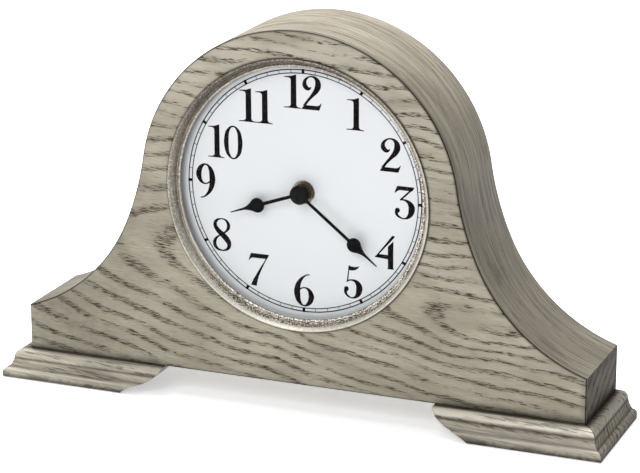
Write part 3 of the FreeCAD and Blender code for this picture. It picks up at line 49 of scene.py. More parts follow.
# the case, seen from the front: an arch that runs down through two hollow sweeps to the plinth
HALF_WIDTH = 0.186
FOOT_TOP = 0.0172
PLINTH_TOP = 0.0465
FRONT_FACE = -0.026
FRONT_BACK = -0.014
CASE_BACK = 0.04
ARCH_RADIUS = 0.1044
ARCH_CENTRE_Z = 0.1376
SWEEP_START = radians(9)
SWEEP_TURN = radians(23.6)
UPPER_SWEEP_RADIUS = 0.1832
COVER_THICKNESS = 0.005
EDGE_ROUNDING = 0.0016
OPENING_RADIUS = 0.0848

# a circle round the dial that holds the opening and no part of the outline
OPENING_ROOM = 0.09

# the dial, its middle on the arbors
DIAL_Z = 0.1386
DIAL_FACE = -0.014
PRINT_HEIGHT = 0.00005
TRACK_OUTER = 0.0772
TRACK_INNER = 0.0749

# the same places in mm, as the finishes read them
END_FACE = HALF_WIDTH / MM
FRONT = FRONT_FACE / MM
BACK = CASE_BACK / MM
DIAL_MIDDLE = DIAL_Z / MM

# the feet's profile in mm: how high the waist under the bead and the edge of the lower ledge lie
FOOT_WAIST = 12
FOOT_LEDGE = 6.6

# each lamp's place, the place that it shines at, its width and height, and its power
LAMPS = {
    "window_left": ((-0.25, -1.5, 1.45), (0, 0, 0.1), (1.2, 0.9), 13),
    "panel_front": ((0.1, -2, 0.8), (0, 0, 0.12), (1.3, 1), 5.5),
    "panel_top": ((-0.25, 0.35, 1.5), (0, 0, 0.15), (1, 0.8), 40),
}


# modelling by hand

def let_go():
    """Leaves edit mode and selects nothing."""
    if bpy.context.object and bpy.context.object.mode != "OBJECT":
        bpy.ops.object.mode_set(mode="OBJECT")
    bpy.ops.object.select_all(action="DESELECT")


def hold(piece, *others):
    """Selects the piece, alone or with others, and makes it the active one."""
    let_go()
    for each in (piece, *others):
        each.select_set(True)
    bpy.context.view_layer.objects.active = piece


def settle(piece):
    """Puts the piece's place into its mesh."""
    hold(piece)
    bpy.ops.object.transform_apply(location=True, rotation=True, scale=True)


def edit(piece, kind="VERT", action="SELECT"):
    """Opens the piece with everything selected, or nothing."""
    hold(piece)
    bpy.ops.object.mode_set(mode="EDIT")
    bpy.ops.mesh.select_mode(type=kind)
    bpy.ops.mesh.select_all(action=action)


def pick(piece, kind, wanted):
    """Opens the piece with what the test wants selected. The test gets a point's place, an edge's two ends
    or a face's normal."""
    edit(piece, kind, "DESELECT")
    bpy.ops.object.mode_set(mode="OBJECT")
    mesh = piece.data
    if kind == "VERT":
        tried = [(point, wanted(point.co)) for point in mesh.vertices]
    elif kind == "EDGE":
        tried = [(edge, wanted(*(mesh.vertices[i].co for i in edge.vertices))) for edge in mesh.edges]
    else:
        tried = [(face, wanted(face.normal)) for face in mesh.polygons]
    for part, answer in tried:
        part.select = bool(answer)
    bpy.ops.object.mode_set(mode="EDIT")


def start_line(name, place):
    """A single point, ready to be drawn out into a line."""
    let_go()
    bpy.ops.mesh.primitive_plane_add(size=MM, location=place)
    piece = bpy.context.object
    piece.name = name
    settle(piece)
    edit(piece)
    bpy.ops.mesh.merge(type="CENTER")
    return piece


def run(step):
    """Draws what is selected out by a straight step."""
    bpy.ops.mesh.extrude_region_move(TRANSFORM_OT_translate={"value": step})


def bend(centre, axis, turn, steps):
    """Draws the line on along an arc. A turn above zero is anticlockwise seen from the axis's end."""
    bpy.ops.mesh.spin(steps=steps, angle=-turn, center=centre, axis=axis)


def ease(width, segments):
    """Rounds the selected edges."""
    bpy.ops.mesh.bevel(offset=width, segments=segments, profile=0.5, affect="EDGES", clamp_overlap=False)
    let_go()


def add_circle(radius, vertices, height):
    """A circle round the dial's axis."""
    let_go()
    bpy.ops.mesh.primitive_circle_add(
        vertices=vertices, radius=radius, location=(0, height, DIAL_Z), rotation=(pi / 2, 0, 0))
    return bpy.context.object


def merge_doubles(piece, distance=HAIR, kind="VERT"):
    """Merges points that lie together, and leaves the piece open with everything selected."""
    edit(piece, kind)
    bpy.ops.mesh.remove_doubles(threshold=distance)
    bpy.ops.mesh.select_all(action="SELECT")


def tidy_shell(piece, distance=0.000002):
    """Merges doubles and turns every face outwards."""
    merge_doubles(piece, distance)
    bpy.ops.mesh.normals_make_consistent(inside=False)
    let_go()


def complete(piece, smooth_angle, materials, body, slot, *nodes):
    """Smooths the piece, gives it its materials, hangs it on its body and hides the nodes that it replaces.
    """
    if smooth_angle:
        hold(piece)
        bpy.ops.object.shade_smooth_by_angle(angle=radians(smooth_angle))
    for material in materials:
        piece.data.materials.append(material)
    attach(piece, body)
    if nodes:
        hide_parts(*nodes)


def write_on_corners(piece, name, rule):
    """Writes a vector on each corner: the rule takes its place and its face's normal and centre."""
    mesh = piece.data
    layer = mesh.attributes.new(name, "FLOAT_VECTOR", "CORNER")
    for face in mesh.polygons:
        for corner in face.loop_indices:
            place = mesh.vertices[mesh.loops[corner].vertex_index].co
            layer.data[corner].vector = rule(place, face.normal, face.center)


# the outline

def outline_arcs():
    """The three arcs of the right half, from the top of the arch down to the plinth's corner: each one's
    centre, radius and turn, and 1 where it bulges or -1 where it is hollow."""
    def away(angle):
        return Vector((cos(angle), 0, sin(angle)))

    arch = Vector((0, 0, ARCH_CENTRE_Z))
    upper = arch + away(SWEEP_START) * (ARCH_RADIUS + UPPER_SWEEP_RADIUS)
    low_turn = away(SWEEP_TURN)
    meet = upper - low_turn * UPPER_SWEEP_RADIUS
    corner = Vector((HALF_WIDTH, 0, PLINTH_TOP))
    reach = corner - meet
    lower_radius = reach.length_squared / (2 * reach.dot(low_turn))
    lower = meet + low_turn * lower_radius
    end_turn = atan2(lower.z - corner.z, lower.x - corner.x)
    return [
        (arch, ARCH_RADIUS, pi / 2 - SWEEP_START, 1),
        (upper, UPPER_SWEEP_RADIUS, SWEEP_TURN - SWEEP_START, -1),
        (lower, lower_radius, end_turn - SWEEP_TURN, -1),
    ]


ARCS = outline_arcs()


# nodes and sums of readings

WHITE = (1, 1, 1, 1)


def maths(operation, swapped=False):
    """A method of Reading that adds one Math node."""
    def method(self, *others):
        values = (*others, self) if swapped else (self, *others)
        return self.nodes.add("Math", dict(enumerate(values)), operation=operation)
    return method


class Reading:
    """A socket that takes part in sums."""

    def __init__(self, nodes, socket):
        self.nodes = nodes
        self.socket = socket

    __add__ = maths("ADD")
    __radd__ = maths("ADD")
    __sub__ = maths("SUBTRACT")
    __rsub__ = maths("SUBTRACT", swapped=True)
    __mul__ = maths("MULTIPLY")
    __rmul__ = maths("MULTIPLY")
    __truediv__ = maths("DIVIDE")
    __rtruediv__ = maths("DIVIDE", swapped=True)
    __mod__ = maths("FLOORED_MODULO")
    __abs__ = maths("ABSOLUTE")
    root = maths("SQRT")
    cosine = maths("COSINE")
    angle_to = maths("ARCTAN2")
    most = maths("MAXIMUM")

    def ramp(self, low, high, start=0, end=1):
        """A soft ramp from start at low to end at high."""
        sockets = {"Value": self, "From Min": low, "From Max": high, "To Min": start, "To Max": end}
        return self.nodes.add("MapRange", sockets, interpolation_type="SMOOTHSTEP")


def light_of(shade):
    """A screen colour, 0 to 255, as the light that it stands for."""
    light = []
    for part in shade:
        part = part / 255
        light.append(part / 12.92 if part <= 0.04045 else ((part + 0.055) / 1.055) ** 2.4)
    return (*light, 1)


class Nodes:
    """The nodes of a material or a world. Shades are screen colours, 0 to 255."""

    def __init__(self, owner):
        owner.use_nodes = True
        self.tree = owner.node_tree
        self.tree.nodes.clear()

    def add(self, kind, sockets=None, out=0, **settings):
        """Adds a node: its settings first, then the values or links of its sockets."""
        node = self.tree.nodes.new("ShaderNode" + kind)
        for name, value in settings.items():
            setattr(node, name, value)
        for name, value in (sockets or {}).items():
            if isinstance(value, Reading):
                self.tree.links.new(value.socket, node.inputs[name])
            else:
                node.inputs[name].default_value = value
        return Reading(self, node.outputs[out] if node.outputs else None)

    def outlets(self, reading, names):
        """The named outlets of the node that a reading comes from."""
        return [Reading(self, reading.socket.node.outputs[name]) for name in names]

    def backdrop_rays(self):
        """One for the rays that show the backdrop, and zero for those that light the object."""
        names = ("Is Camera Ray", "Is Glossy Ray", "Is Transmission Ray", "Diffuse Depth")
        straight, gloss, glass_ray, bounces = self.outlets(self.add("LightPath"), names)
        return straight.most(gloss).most(glass_ray) * bounces.ramp(0.4, 0.6, 1, 0)


class Finish(Nodes):
    """A material in the making."""

    def __init__(self, name):
        self.material = bpy.data.materials.new(name)
        super().__init__(self.material)

    def place(self):
        return self.add("TexCoord", out="Object")

    def parts(self, vector):
        return self.outlets(self.add("SeparateXYZ", {0: vector}), range(3))

    def in_mm(self):
        return [part * 1000 for part in self.parts(self.place())]

    def written(self, name):
        """The three parts of what is written on the mesh's corners."""
        return self.parts(self.add("Attribute", out="Vector", attribute_name=name))

    def joined(self, x, y, z):
        return self.add("CombineXYZ", {0: x, 1: y, 2: z})

    def noise(self, *place, scale=1, detail=2, roughness=0.5):
        """Noise at the object's own place, or at one that is given by its three parts."""
        vector = self.joined(*place) if place else self.place()
        sockets = {"Vector": vector, "Scale": scale, "Detail": detail, "Roughness": roughness}
        return self.add("TexNoise", sockets, out="Fac")

    def mix(self, factor, *shades):
        """Goes from the first shade to the second, each a screen colour or another mix. The node's colours
        go in at 6 and 7 and come out at 2."""
        first, second = (light_of(shade) if isinstance(shade, tuple) else shade for shade in shades)
        return self.add("Mix", {0: factor, 6: first, 7: second}, 2, data_type="RGBA")

    def surface(self, shade, rough, relief=None, shine=0.5, **others):
        """Completes the material. A relief holds its height, its strength and its depth."""
        sockets = {name.replace("_", " "): value for name, value in others.items()}
        sockets.update({"Base Color": shade, "Roughness": rough, "Specular IOR Level": shine})
        if relief:
            sockets["Normal"] = self.add("Bump", dict(zip(("Height", "Strength", "Distance"), relief)))
        return self.show(self.add("BsdfPrincipled", sockets))

    def show(self, shader):
        self.add("OutputMaterial", {"Surface": shader})
        return self.material


# the oak

OAK_LIGHT = (183, 176, 158)
OAK_MIDDLE = (158, 151, 134)
OAK_FINE = (112, 104, 89)
OAK_BAND = (106, 98, 84)
OAK_LINE = (58, 51, 43)
OAK_STREAK = (68, 60, 48)
OAK_GLAZE_AND_SHADE = (28, 23, 18)
OAK_WASH = (104, 97, 88)
OAK_WEAR_AND_HIGHLIGHT = (212, 205, 190)


def oak(name, direction, ring_width, heart, taper, pore_length, pore_width, streak, glaze_and_shade=None, tone=1,
        waver=22, lines=0, wear=None, slant=0.05, band=0.3, wash=OAK_WASH, coat=0, shine=0.3):
    """Open-grained oak with a grey wash. direction gives the grain's own place in mm: along, across, into.
    The growth rings are cut from a cone: heart is how far its middle lies from the face, taper how fast it
    comes nearer. tone is how much of the oak shows through the wash, which on the ends is partly painted
    shade. lines adds long dark lines, wear adds light places, painted highlights among them, and the
    darkening given adds dark glaze and painted shade."""
    finish = Finish(name)
    along, across, into = direction(finish)
    sway = finish.noise(along / 70, across / 42, into / 60, detail=1)
    ripple = finish.noise(along / 13, across / 9, into / 20, detail=1)
    bent = across + (sway - 0.5) * waver + (ripple - 0.5) * waver / 10
    depth = heart + along * taper + into
    ring = (bent * bent + depth * depth).root() / ring_width
    part = ring % 1
    early = part.ramp(0, 0.16) * part.ramp(0.34, 0.62, 1, 0)
    strength = finish.noise(along / 48, across / 10, into / 30).ramp(0.34, 0.56, 0.45, 1)
    early = early * strength
    slip = across + along * slant
    pores = finish.noise(along / pore_length, slip / pore_width, into / 2.2, detail=1.2, roughness=0.6)
    edge = 0.715 - early * 0.235
    pore = (pores - edge).ramp(0, 0.045)
    fine = finish.noise(along / (pore_length * 1.5), slip / (pore_width * 0.42), into / 2)
    cloud = finish.noise(along / 60, across / 22, into / 40, detail=3)
    flat = finish.mix(cloud.ramp(0.3, 0.7), OAK_LIGHT, OAK_MIDDLE)
    flat = finish.mix(fine.ramp(0.42, 0.68) * 0.5, flat, OAK_FINE)
    flat = finish.mix(early * band, flat, OAK_BAND)
    if lines:
        wide_line = finish.noise(along / 130, across / 1.2, into / 30, detail=1)
        thin_line = finish.noise(along / 50, across / 0.6, into / 30, detail=1)
        both = wide_line.ramp(0.44, 0.62) * 0.35 + thin_line.ramp(0.46, 0.62) * 0.6
        flat = finish.mix(both * lines, flat, OAK_LINE)
    # the light places: painted highlights and wear on the feet, a paler top on the front board
    if wear:
        flat = finish.mix(wear(finish), flat, OAK_WEAR_AND_HIGHLIGHT)
    shade = finish.mix(pore * streak, flat, OAK_STREAK)
    # the dark wash of the ends and the side mouldings is largely painted shade
    if tone != 1:
        shade = finish.mix(1 - tone, shade, wash)
    # the darkening: dark glaze, with painted shade in seams and creases and down the strip's flanks
    if glaze_and_shade:
        shade = finish.mix(glaze_and_shade(finish), shade, OAK_GLAZE_AND_SHADE)
    relief = (pore * -1 + fine * 0.25, 0.45, 0.00018)
    rough = fine.ramp(0.3, 0.7, 0.5, 0.62).most(pore * 0.9)
    return finish.surface(shade, rough, relief, shine, Coat_Weight=coat, Coat_Roughness=0.3)


def front_direction(finish):
    """The front board: the grain runs across the case and falls a little to the right."""
    level = 0.993
    fall = 0.118
    heart_height = 88
    x, y, z = finish.written("grain")
    return x * level - z * fall, (z - heart_height) * level + x * fall, y - FRONT


def strip_direction(finish):
    """The bent strip: the grain follows its length."""
    return finish.written("grain")


def front_foot_direction(finish):
    """The front mouldings: the grain turns a very little towards the back."""
    turn = 0.02
    x, y, z = finish.in_mm()
    return x - y * turn, y + x * turn, z


def end_direction(finish):
    """The plinth's ends: the grain climbs towards the back."""
    level = 0.83
    climb = 0.56
    heart_depth = 45
    x, y, z = finish.in_mm()
    return y * level + z * climb, z * level - y * climb + heart_depth, abs(x) - END_FACE


def side_foot_direction(finish):
    """The side mouldings are cut across the grain: its lines run down their profile."""
    heart_depth = 72
    x, y, z = finish.in_mm()
    out = abs(x) - END_FACE
    down = out - z
    swell = finish.noise(down / 9, y / 14, x / 90, detail=1)
    return down * 0.8, y + heart_depth + (swell - 0.5) * 9, out * 0.4


def edge_depth(x, z):
    """How deep a place on the front lies inside the sawn outline, in mm."""
    half_blend = 0.4
    depths = []
    for centre, radius, _, hand in ARCS:
        across = abs(x) - centre.x / MM
        up = z - centre.z / MM
        depths.append(((across * across + up * up).root() - radius / MM) * -hand)
    arch, upper, lower = depths
    arch_end = (ARCH_CENTRE_Z + ARCH_RADIUS * sin(SWEEP_START)) / MM
    upper_end = (ARCS[1][0].z - UPPER_SWEEP_RADIUS * sin(SWEEP_TURN)) / MM
    below_arch = z.ramp(arch_end + half_blend, arch_end - half_blend)
    below_upper = z.ramp(upper_end + half_blend, upper_end - half_blend)
    sweeps = upper + (lower - upper) * below_upper
    return arch + (sweeps - arch) * below_arch


def front_glaze_and_shade(finish):
    """Dark glaze in the eased edge and near the ends. Round the bezel and above the feet it is dark glaze
    with painted shade where the parts meet, and low on the left it is painted shade.
    """
    bezel_radius = 86
    x, y, z = finish.written("grain")
    rim = finish.written("glaze")[0]
    up = z - DIAL_MIDDLE
    rag = finish.noise(x / 4, y / 4, z / 4)
    radius = (x * x + up * up).root()
    # dark glaze in the joint and a painted shadow round the bezel
    round_bezel = radius.ramp(bezel_radius - 0.4, bezel_radius + 1.6, 1, 0) * 0.9
    # dark glaze and painted shade in the seam above the feet
    low = z.ramp(17, 24.5, 1, 0) * abs(x).ramp(88, 98) * (0.45 + rag * 0.5)
    sides = abs(x).ramp(180.5, END_FACE + 0.2) * 0.35
    # painted shade: darker low on the left
    left = x.ramp(-190, -20, 0.34, 0) * z.ramp(60, 170, 1, 0.3) * rag.ramp(0.2, 0.7, 0.6, 1)
    line = edge_depth(x, z).ramp(0.3, 1.1, 0.85, 0)
    line = line.most(abs(x).ramp(END_FACE - 1.2, END_FACE - 0.3) * 0.8) * rag.ramp(0.2, 0.5, 0.8, 1)
    return round_bezel.most(rim).most(low).most(sides).most(left).most(line)


def front_paler_top(finish):
    """Lighter towards the top of the arch, in patches."""
    x, y, z = finish.written("grain")
    patch = finish.noise(x / 30, y / 30, z / 9)
    return z.ramp(120, 238, 0, 0.42) * patch.ramp(0.3, 0.65, 0.2, 1)


def strip_glaze_and_shade(finish):
    """Dark glaze towards both edges of the strip, painted shade down its flanks, and faint marks of the
    saw.
    """
    along, y, out = finish.written("grain")
    rim = finish.written("glaze")[0]
    front = y.ramp(FRONT, FRONT + 6, 0.4, 0)
    back = y.ramp(BACK - 3, BACK + 0.5, 0, 0.4)
    # painted shade: darker down the flanks, away from the light above
    flank = abs(along).ramp(90, 190, 0, 0.22) + abs(along).ramp(215, 260, 0, 0.12)
    saw = finish.noise((along + y * 2.2) / 1.1, (y - along * 0.3) / 16, out / 30, detail=1)
    return rim.most(front).most(back).most(flank) + saw.ramp(0.46, 0.6) * 0.13


def end_glaze_and_shade(finish):
    """Darker above the foot, at the back and under the strip: dark glaze, with painted shade in the seam
    above the foot and under the strip.
    """
    x, y, z = finish.in_mm()
    rag = finish.noise(x / 5, y / 5, z / 5)
    low = z.ramp(17.5, 27, 0.85, 0)
    rear = y.ramp(BACK - 7, BACK, 0, 0.85)
    top = z.ramp(38.5, 43.5, 0, 0.6)
    return low.most(rear).most(top) * (0.6 + rag * 0.6)


def foot_wear_and_highlight(finish):
    """Light where hands have rubbed the bead and the ledge's upper edge, with a painted highlight there
    that is stronger on the right foot.
    """
    x, y, z = finish.in_mm()
    out = (FRONT - y).most(abs(x) - END_FACE)
    rag = finish.noise(x / 9, y / 9, z / 2, detail=3)
    bead = out.ramp(2.4, 4.6) * z.ramp(12.8, 14.4) * out.ramp(7.4, 9, 1, 0)
    # painted highlight: brighter on the right foot, where more light falls
    bead = bead * x.ramp(-130, 130, 0.42, 1.4)
    ledge = out.ramp(11.2, 11.9) * z.ramp(FOOT_LEDGE - 2.2, FOOT_LEDGE - 1) * 0.3
    return bead.most(ledge) * rag.ramp(0.3, 0.62, 0.45, 0.95)


def foot_glaze_and_shade(finish):
    """Darker in the seam under the case, in the waist, on the ledge, in the mitre, at the toe and along the
    bottom: dark glaze in the mitre and at the toe, glaze and painted shade in the seam, and painted shade
    in the waist, in the ledge's corner and along the bottom.
    """
    x, y, z = finish.in_mm()
    rag = finish.noise(x / 6, y / 6, z / 3)
    out_front = FRONT - y
    out_side = abs(x) - END_FACE
    out = out_front.most(out_side)
    seam = out.ramp(0.2, 3, 0.95, 0) * out.ramp(-0.6, -0.2) * z.ramp(14, 16)
    toe = out.ramp(13, 13.9) * z.ramp(4, 1.4, 0.1, 0.8)
    ledge = abs(z - FOOT_LEDGE).ramp(0.1, 1.2, 0.6, 0) * out.ramp(11.2, 10.2)
    # painted shade in the waist, in the ledge's corner and along the bottom
    waist = abs(z - FOOT_WAIST).ramp(0.1, 1.3, 0.7, 0)
    under = z.ramp(0.4, 1.6, 0.8, 0)
    mitre = abs(out_front - out_side).ramp(0, 0.55, 0.75, 0)
    return seam.most(toe).most(ledge).most(waist).most(under).most(mitre) * (0.7 + rag * 0.5)


# metal, lacquer, plastic and the rest

def metal(name, base, dark, roughness, scale, brush_and_shade=None, tarnish_and_shade=None, amount=0.5):
    """Metal with a fine mottled patina. Streaks along the work and brown patina may be added; on the bezel
    and the nut they carry painted shade as well.
    """
    finish = Finish(name)
    mottle = finish.noise(scale=scale, detail=4, roughness=0.65)
    spread = mottle.ramp(0.36, 0.66) * amount
    if brush_and_shade:
        spread = spread.most(brush_and_shade(finish))
    shade = finish.mix(spread, base, dark)
    if tarnish_and_shade:
        # brown patina, with painted shade in the nut's grooves and over the bezel's upper side
        shade = finish.mix(tarnish_and_shade(finish), shade, (74, 65, 54))
    rough = mottle.ramp(0.3, 0.7, roughness, roughness + 0.14)
    return finish.surface(shade, rough, (mottle, 0.12, 0.00008), Metallic=1)


def around(finish):
    """Place round the dial in mm: distance from its middle, turn from twelve and height off its face."""
    x, y, z = finish.in_mm()
    up = z - DIAL_MIDDLE
    return (x * x + up * up).root(), x.angle_to(up), DIAL_FACE / MM - y


def bezel_brush_and_shade(finish):
    radius, turn, height = around(finish)
    streaks = finish.noise(turn * 16, radius * 1.6, height * 1.6, detail=4, roughness=0.7)
    flecks = finish.noise(turn * 70, radius * 0.9, height * 0.9, detail=3, roughness=0.75)
    # painted shade: the dark streaks and flecks grow heavier towards the top of the ring
    low = (turn + 0.3).cosine().ramp(-0.8, 0.1, 0.6, 1)
    return (streaks.ramp(0.4, 0.6) * 0.3 + flecks.ramp(0.46, 0.56) * 0.4) * low


def bezel_tarnish_and_shade(finish):
    """Brown patina lies mottled in the foot of the slope below the dial and round the outer edge. Over the
    slope above the dial and across the ring's upper left, the brown is painted shade.
    """
    radius, turn, height = around(finish)
    rag = finish.noise(turn * 60, radius, height, detail=3, roughness=0.7)
    speck = finish.noise(turn * 90, radius * 1.2, height * 1.2, detail=1)
    facing = (turn + 0.65).cosine()
    slope = radius.ramp(80.9, 81.4)
    # painted shade on the slope above the dial and across the upper left
    above = (turn + 0.15).cosine().ramp(-0.15, 0.85) * slope * speck.ramp(0.42, 0.56, 0.62, 0.95)
    foot = radius.ramp(82.9, 84, 0.95, 0) * facing.ramp(0.4, -0.4) * speck.ramp(0.47, 0.54)
    outer = (radius.ramp(84.8, 85.3) * 0.42).most(radius.ramp(85.6, 85.9) * 0.9)
    lip = facing.ramp(-0.4, 0.6) * rag.ramp(0.3, 0.6, 0.2, 0.7)
    return above.most(foot).most(outer).most(lip)


def nut_groove_shade(finish):
    """Painted shade in the grooves between washer, nut and thread, and a slightly darker nut."""
    first_groove = 7.55
    spacing = 1.15
    nut_edge = 7.1
    radius, _, height = around(finish)
    grooves = ((first_groove - radius) / spacing % 1).ramp(0.4, 0.56)
    flanks = height.ramp(0.5, 0.7) * (radius - nut_edge).ramp(0, 0.2, 1, 0) * 0.25
    return (grooves * 0.85).most(flanks)


def ring_lacquer():
    """Painted shade: the colour darkens out along the cove, most above the dial and towards the left."""
    finish = Finish("pale grey lacquer, coved ring")
    radius, turn, height = around(finish)
    cloud = finish.noise(turn * 6, radius / 3, height / 3)
    shaded = (turn + 0.7).cosine().ramp(-0.7, 0.5, 0.3, 0.9)
    depth = radius.ramp(77.6, 80.9) * shaded + (cloud - 0.5) * 0.2
    shade = finish.mix(depth, (222, 225, 226), (120, 124, 128))
    return finish.surface(shade, cloud.ramp(0.3, 0.7, 0.4, 0.5), (cloud, 0.05, 0.0001))


def plastic(name, base, other, roughness, scale=900, lift=0.06, shine=0.5):
    """Moulded plastic, lacquer or rubber: a fine grain in a faint cloud."""
    finish = Finish(name)
    grain = finish.noise(scale=scale, detail=3)
    cloud = finish.noise(scale=60)
    shade = finish.mix(cloud.ramp(0.3, 0.7) * 0.6 + grain * 0.3, base, other)
    rough = grain.ramp(0.3, 0.7, roughness, roughness + 0.1)
    return finish.surface(shade, rough, (grain, lift, 0.0001), shine)


def dial_white():
    finish = Finish("dial white lacquer")
    x, _, z = finish.in_mm()
    cloud = finish.noise(scale=9)
    # painted shade: the dial grows greyer towards the lower left
    slope = (x * 0.5 + z - DIAL_MIDDLE) / 90 + (cloud - 0.5) * 0.8
    shade = finish.mix(slope.ramp(-1, 0.9), (226, 230, 232), (238, 240, 243))
    grain = finish.noise(scale=1500)
    rough = grain.ramp(0.3, 0.7, 0.34, 0.42)
    return finish.surface(shade, rough, (grain, 0.02, 0.00005), 0.2)


def print_ink(name, base, other):
    finish = Finish(name)
    soak = finish.noise(scale=700, detail=3)
    shade = finish.mix(soak.ramp(0.35, 0.7), base, other)
    rough = soak.ramp(0.3, 0.7, 0.42, 0.55)
    return finish.surface(shade, rough, (soak, 0.02, 0.000005), 0.03)


def clear_glass():
    finish = Finish("domed clock glass")
    smear = finish.noise(scale=35, detail=3)
    gloss = finish.add("BsdfPrincipled", {
        "Base Color": WHITE, "Roughness": smear.ramp(0.4, 0.8, 0.01, 0.035), "IOR": 1.05,
        "Transmission Weight": 1})
    clear = finish.add("BsdfTransparent", {"Color": WHITE})
    shadow = finish.add("LightPath", out="Is Shadow Ray")
    return finish.show(finish.add("MixShader", {0: shadow, 1: gloss, 2: clear}))


def battery_paper():
    """The plain wrapper of the cell: a dark body and two pale ends."""
    finish = Finish("battery wrapper")
    x = finish.in_mm()[0]
    wear = finish.noise(scale=260, detail=3)
    shade = finish.mix(abs(x).ramp(14, 14.6), (44, 60, 88), (168, 140, 92))
    shade = finish.mix(wear.ramp(0.55, 0.75) * 0.25, shade, (120, 120, 118))
    return finish.surface(shade, wear.ramp(0.3, 0.7, 0.28, 0.4), Metallic=0.35)


def felt_cloth():
    finish = Finish("felt")
    fibre = finish.noise(scale=2600, detail=4, roughness=0.7)
    shade = finish.mix(fibre.ramp(0.3, 0.7), (74, 68, 60), (112, 104, 92))
    return finish.surface(shade, fibre.ramp(0.3, 0.7, 0.88, 0.97), (fibre, 0.5, 0.0003))


def fibreboard():
    finish = Finish("black-brown back board")
    fibre = finish.noise(scale=420, detail=4, roughness=0.7)
    x, y, z = finish.parts(finish.place())
    wisp = finish.noise(x * 130, y * 130, z * 900, detail=3)
    shade = finish.mix(fibre.ramp(0.35, 0.7), (70, 62, 54), (92, 82, 71))
    shade = finish.mix(wisp.ramp(0.5, 0.72) * 0.5, shade, (48, 42, 37))
    return finish.surface(shade, fibre.ramp(0.3, 0.7, 0.6, 0.75), (fibre, 0.2, 0.0002))


def rail_wood():
    finish = Finish("pale rail wood")
    x, y, z = finish.in_mm()
    line = finish.noise(x / 40, y / 1.1, z / 1.1, detail=3)
    shade = finish.mix(line.ramp(0.35, 0.68), (205, 178, 136), (170, 136, 92))
    return finish.surface(shade, line.ramp(0.3, 0.7, 0.6, 0.72), (line, 0.2, 0.0002))


def copper_wire():
    wire = 0.18
    steepness = 11
    finish = Finish("enamelled copper wire")
    z = finish.in_mm()[2]
    mottle = finish.noise(scale=900)
    turns = (z % wire - wire / 2) * steepness
    # painted shade: darker between the turns of wire
    shade = finish.mix(abs(turns).ramp(0.3, 1), (196, 104, 58), (104, 48, 24))
    relief = (turns * turns * -1, 0.4, 0.0001)
    return finish.surface(shade, mottle.ramp(0.3, 0.7, 0.28, 0.4), relief, Metallic=0.8)


front_oak = oak(
    "grey-washed oak, front board", front_direction, ring_width=7.2, heart=25, taper=-0.2, pore_length=7,
    pore_width=0.52, streak=0.95, glaze_and_shade=front_glaze_and_shade, waver=17, wear=front_paler_top, slant=-0.06, band=0.34,
    shine=0.2)
strip_oak = oak(
    "grey-washed oak, bent strip", strip_direction, ring_width=2.2, heart=60, taper=0.02, pore_length=12,
    pore_width=0.5, streak=0.4, glaze_and_shade=strip_glaze_and_shade, tone=0.77, waver=3, lines=0.75, band=0.08, shine=0.12)
# the ends' dark wash is partly a darker stain and partly painted shade
end_oak = oak(
    "grey-washed oak, end grain panels", end_direction, ring_width=8, heart=8, taper=0.3, pore_length=9,
    pore_width=1.1, streak=0.9, glaze_and_shade=end_glaze_and_shade, tone=0.17, waver=14, wash=(44, 38, 31), shine=0.05)
board_oak = oak(
    "grey-washed oak, bottom board", Finish.in_mm, ring_width=6, heart=30, taper=0.1, pore_length=8,
    pore_width=0.6, streak=0.6)
front_foot_oak = oak(
    "grey-washed oak, front mouldings", front_foot_direction, ring_width=3.4, heart=26, taper=0.03,
    pore_length=12, pore_width=0.5, streak=0.6, glaze_and_shade=foot_glaze_and_shade, waver=6, lines=0.6, wear=foot_wear_and_highlight,
    coat=0.3)
# painted shade: the side mouldings take a far darker wash than the front ones
side_foot_oak = oak(
    "grey-washed oak, side mouldings", side_foot_direction, ring_width=4.6, heart=6, taper=1.6,
    pore_length=9, pore_width=0.9, streak=0.75, glaze_and_shade=foot_glaze_and_shade, tone=0.42, waver=34, wear=foot_wear_and_highlight,
    slant=0.2, band=0.75, wash=(50, 44, 36), shine=0.1)

nickel = metal(
    "antique nickel bezel", (228, 223, 211), (120, 112, 99), 0.38, 700, bezel_brush_and_shade, bezel_tarnish_and_shade, 0.35)
cap_black = plastic("black hand cap lacquer", (11, 12, 12), (20, 20, 20), 0.3, lift=0.03, shine=0.08)

# the finish of each material slot
slot_finish = {
    "grey_oak": board_oak,
    "back_board": fibreboard(),
    "softwood": rail_wood(),
    "steel": metal("zinc-plated steel", (188, 190, 192), (130, 132, 134), 0.3, 900),
    "hardware_brass": metal("lacquered brass", (182, 156, 104), (128, 104, 62), 0.3, 500),
    "antique_nickel": metal(
        "antique nickel nut and washer", (176, 168, 150), (74, 65, 52), 0.26, 800, None, nut_groove_shade, 0.7),
    "spacer_grey": plastic("grey spacer ring", (168, 172, 176), (146, 151, 157), 0.5),
    "clear_glass": clear_glass(),
    "dial_white": dial_white(),
    "hand_black": plastic("black hand lacquer", (11, 12, 12), (17, 17, 17), 0.45, lift=0.03, shine=0.04),
    "movement_black": plastic("movement case, black", (30, 30, 32), (44, 44, 46), 0.5, 1600, 0.25),
    "dark_plastic": plastic("dark moulded plastic", (52, 50, 48), (66, 63, 60), 0.48),
    "gear_white": plastic("milk-white gear plastic", (226, 222, 210), (206, 201, 187), 0.42),
    "copper_wire": copper_wire(),
    "board_green": plastic("circuit board", (34, 84, 56), (26, 66, 44), 0.38),
    "battery_label": battery_paper(),
    "black_rubber": plastic("black rubber", (28, 28, 28), (40, 39, 38), 0.72),
    "felt": felt_cloth(),
}

# the nodes that have a finish of their own
node_finish = {
    "end_panel": end_oak,
    "foot_front": front_foot_oak,
    "foot_side": side_foot_oak,
}


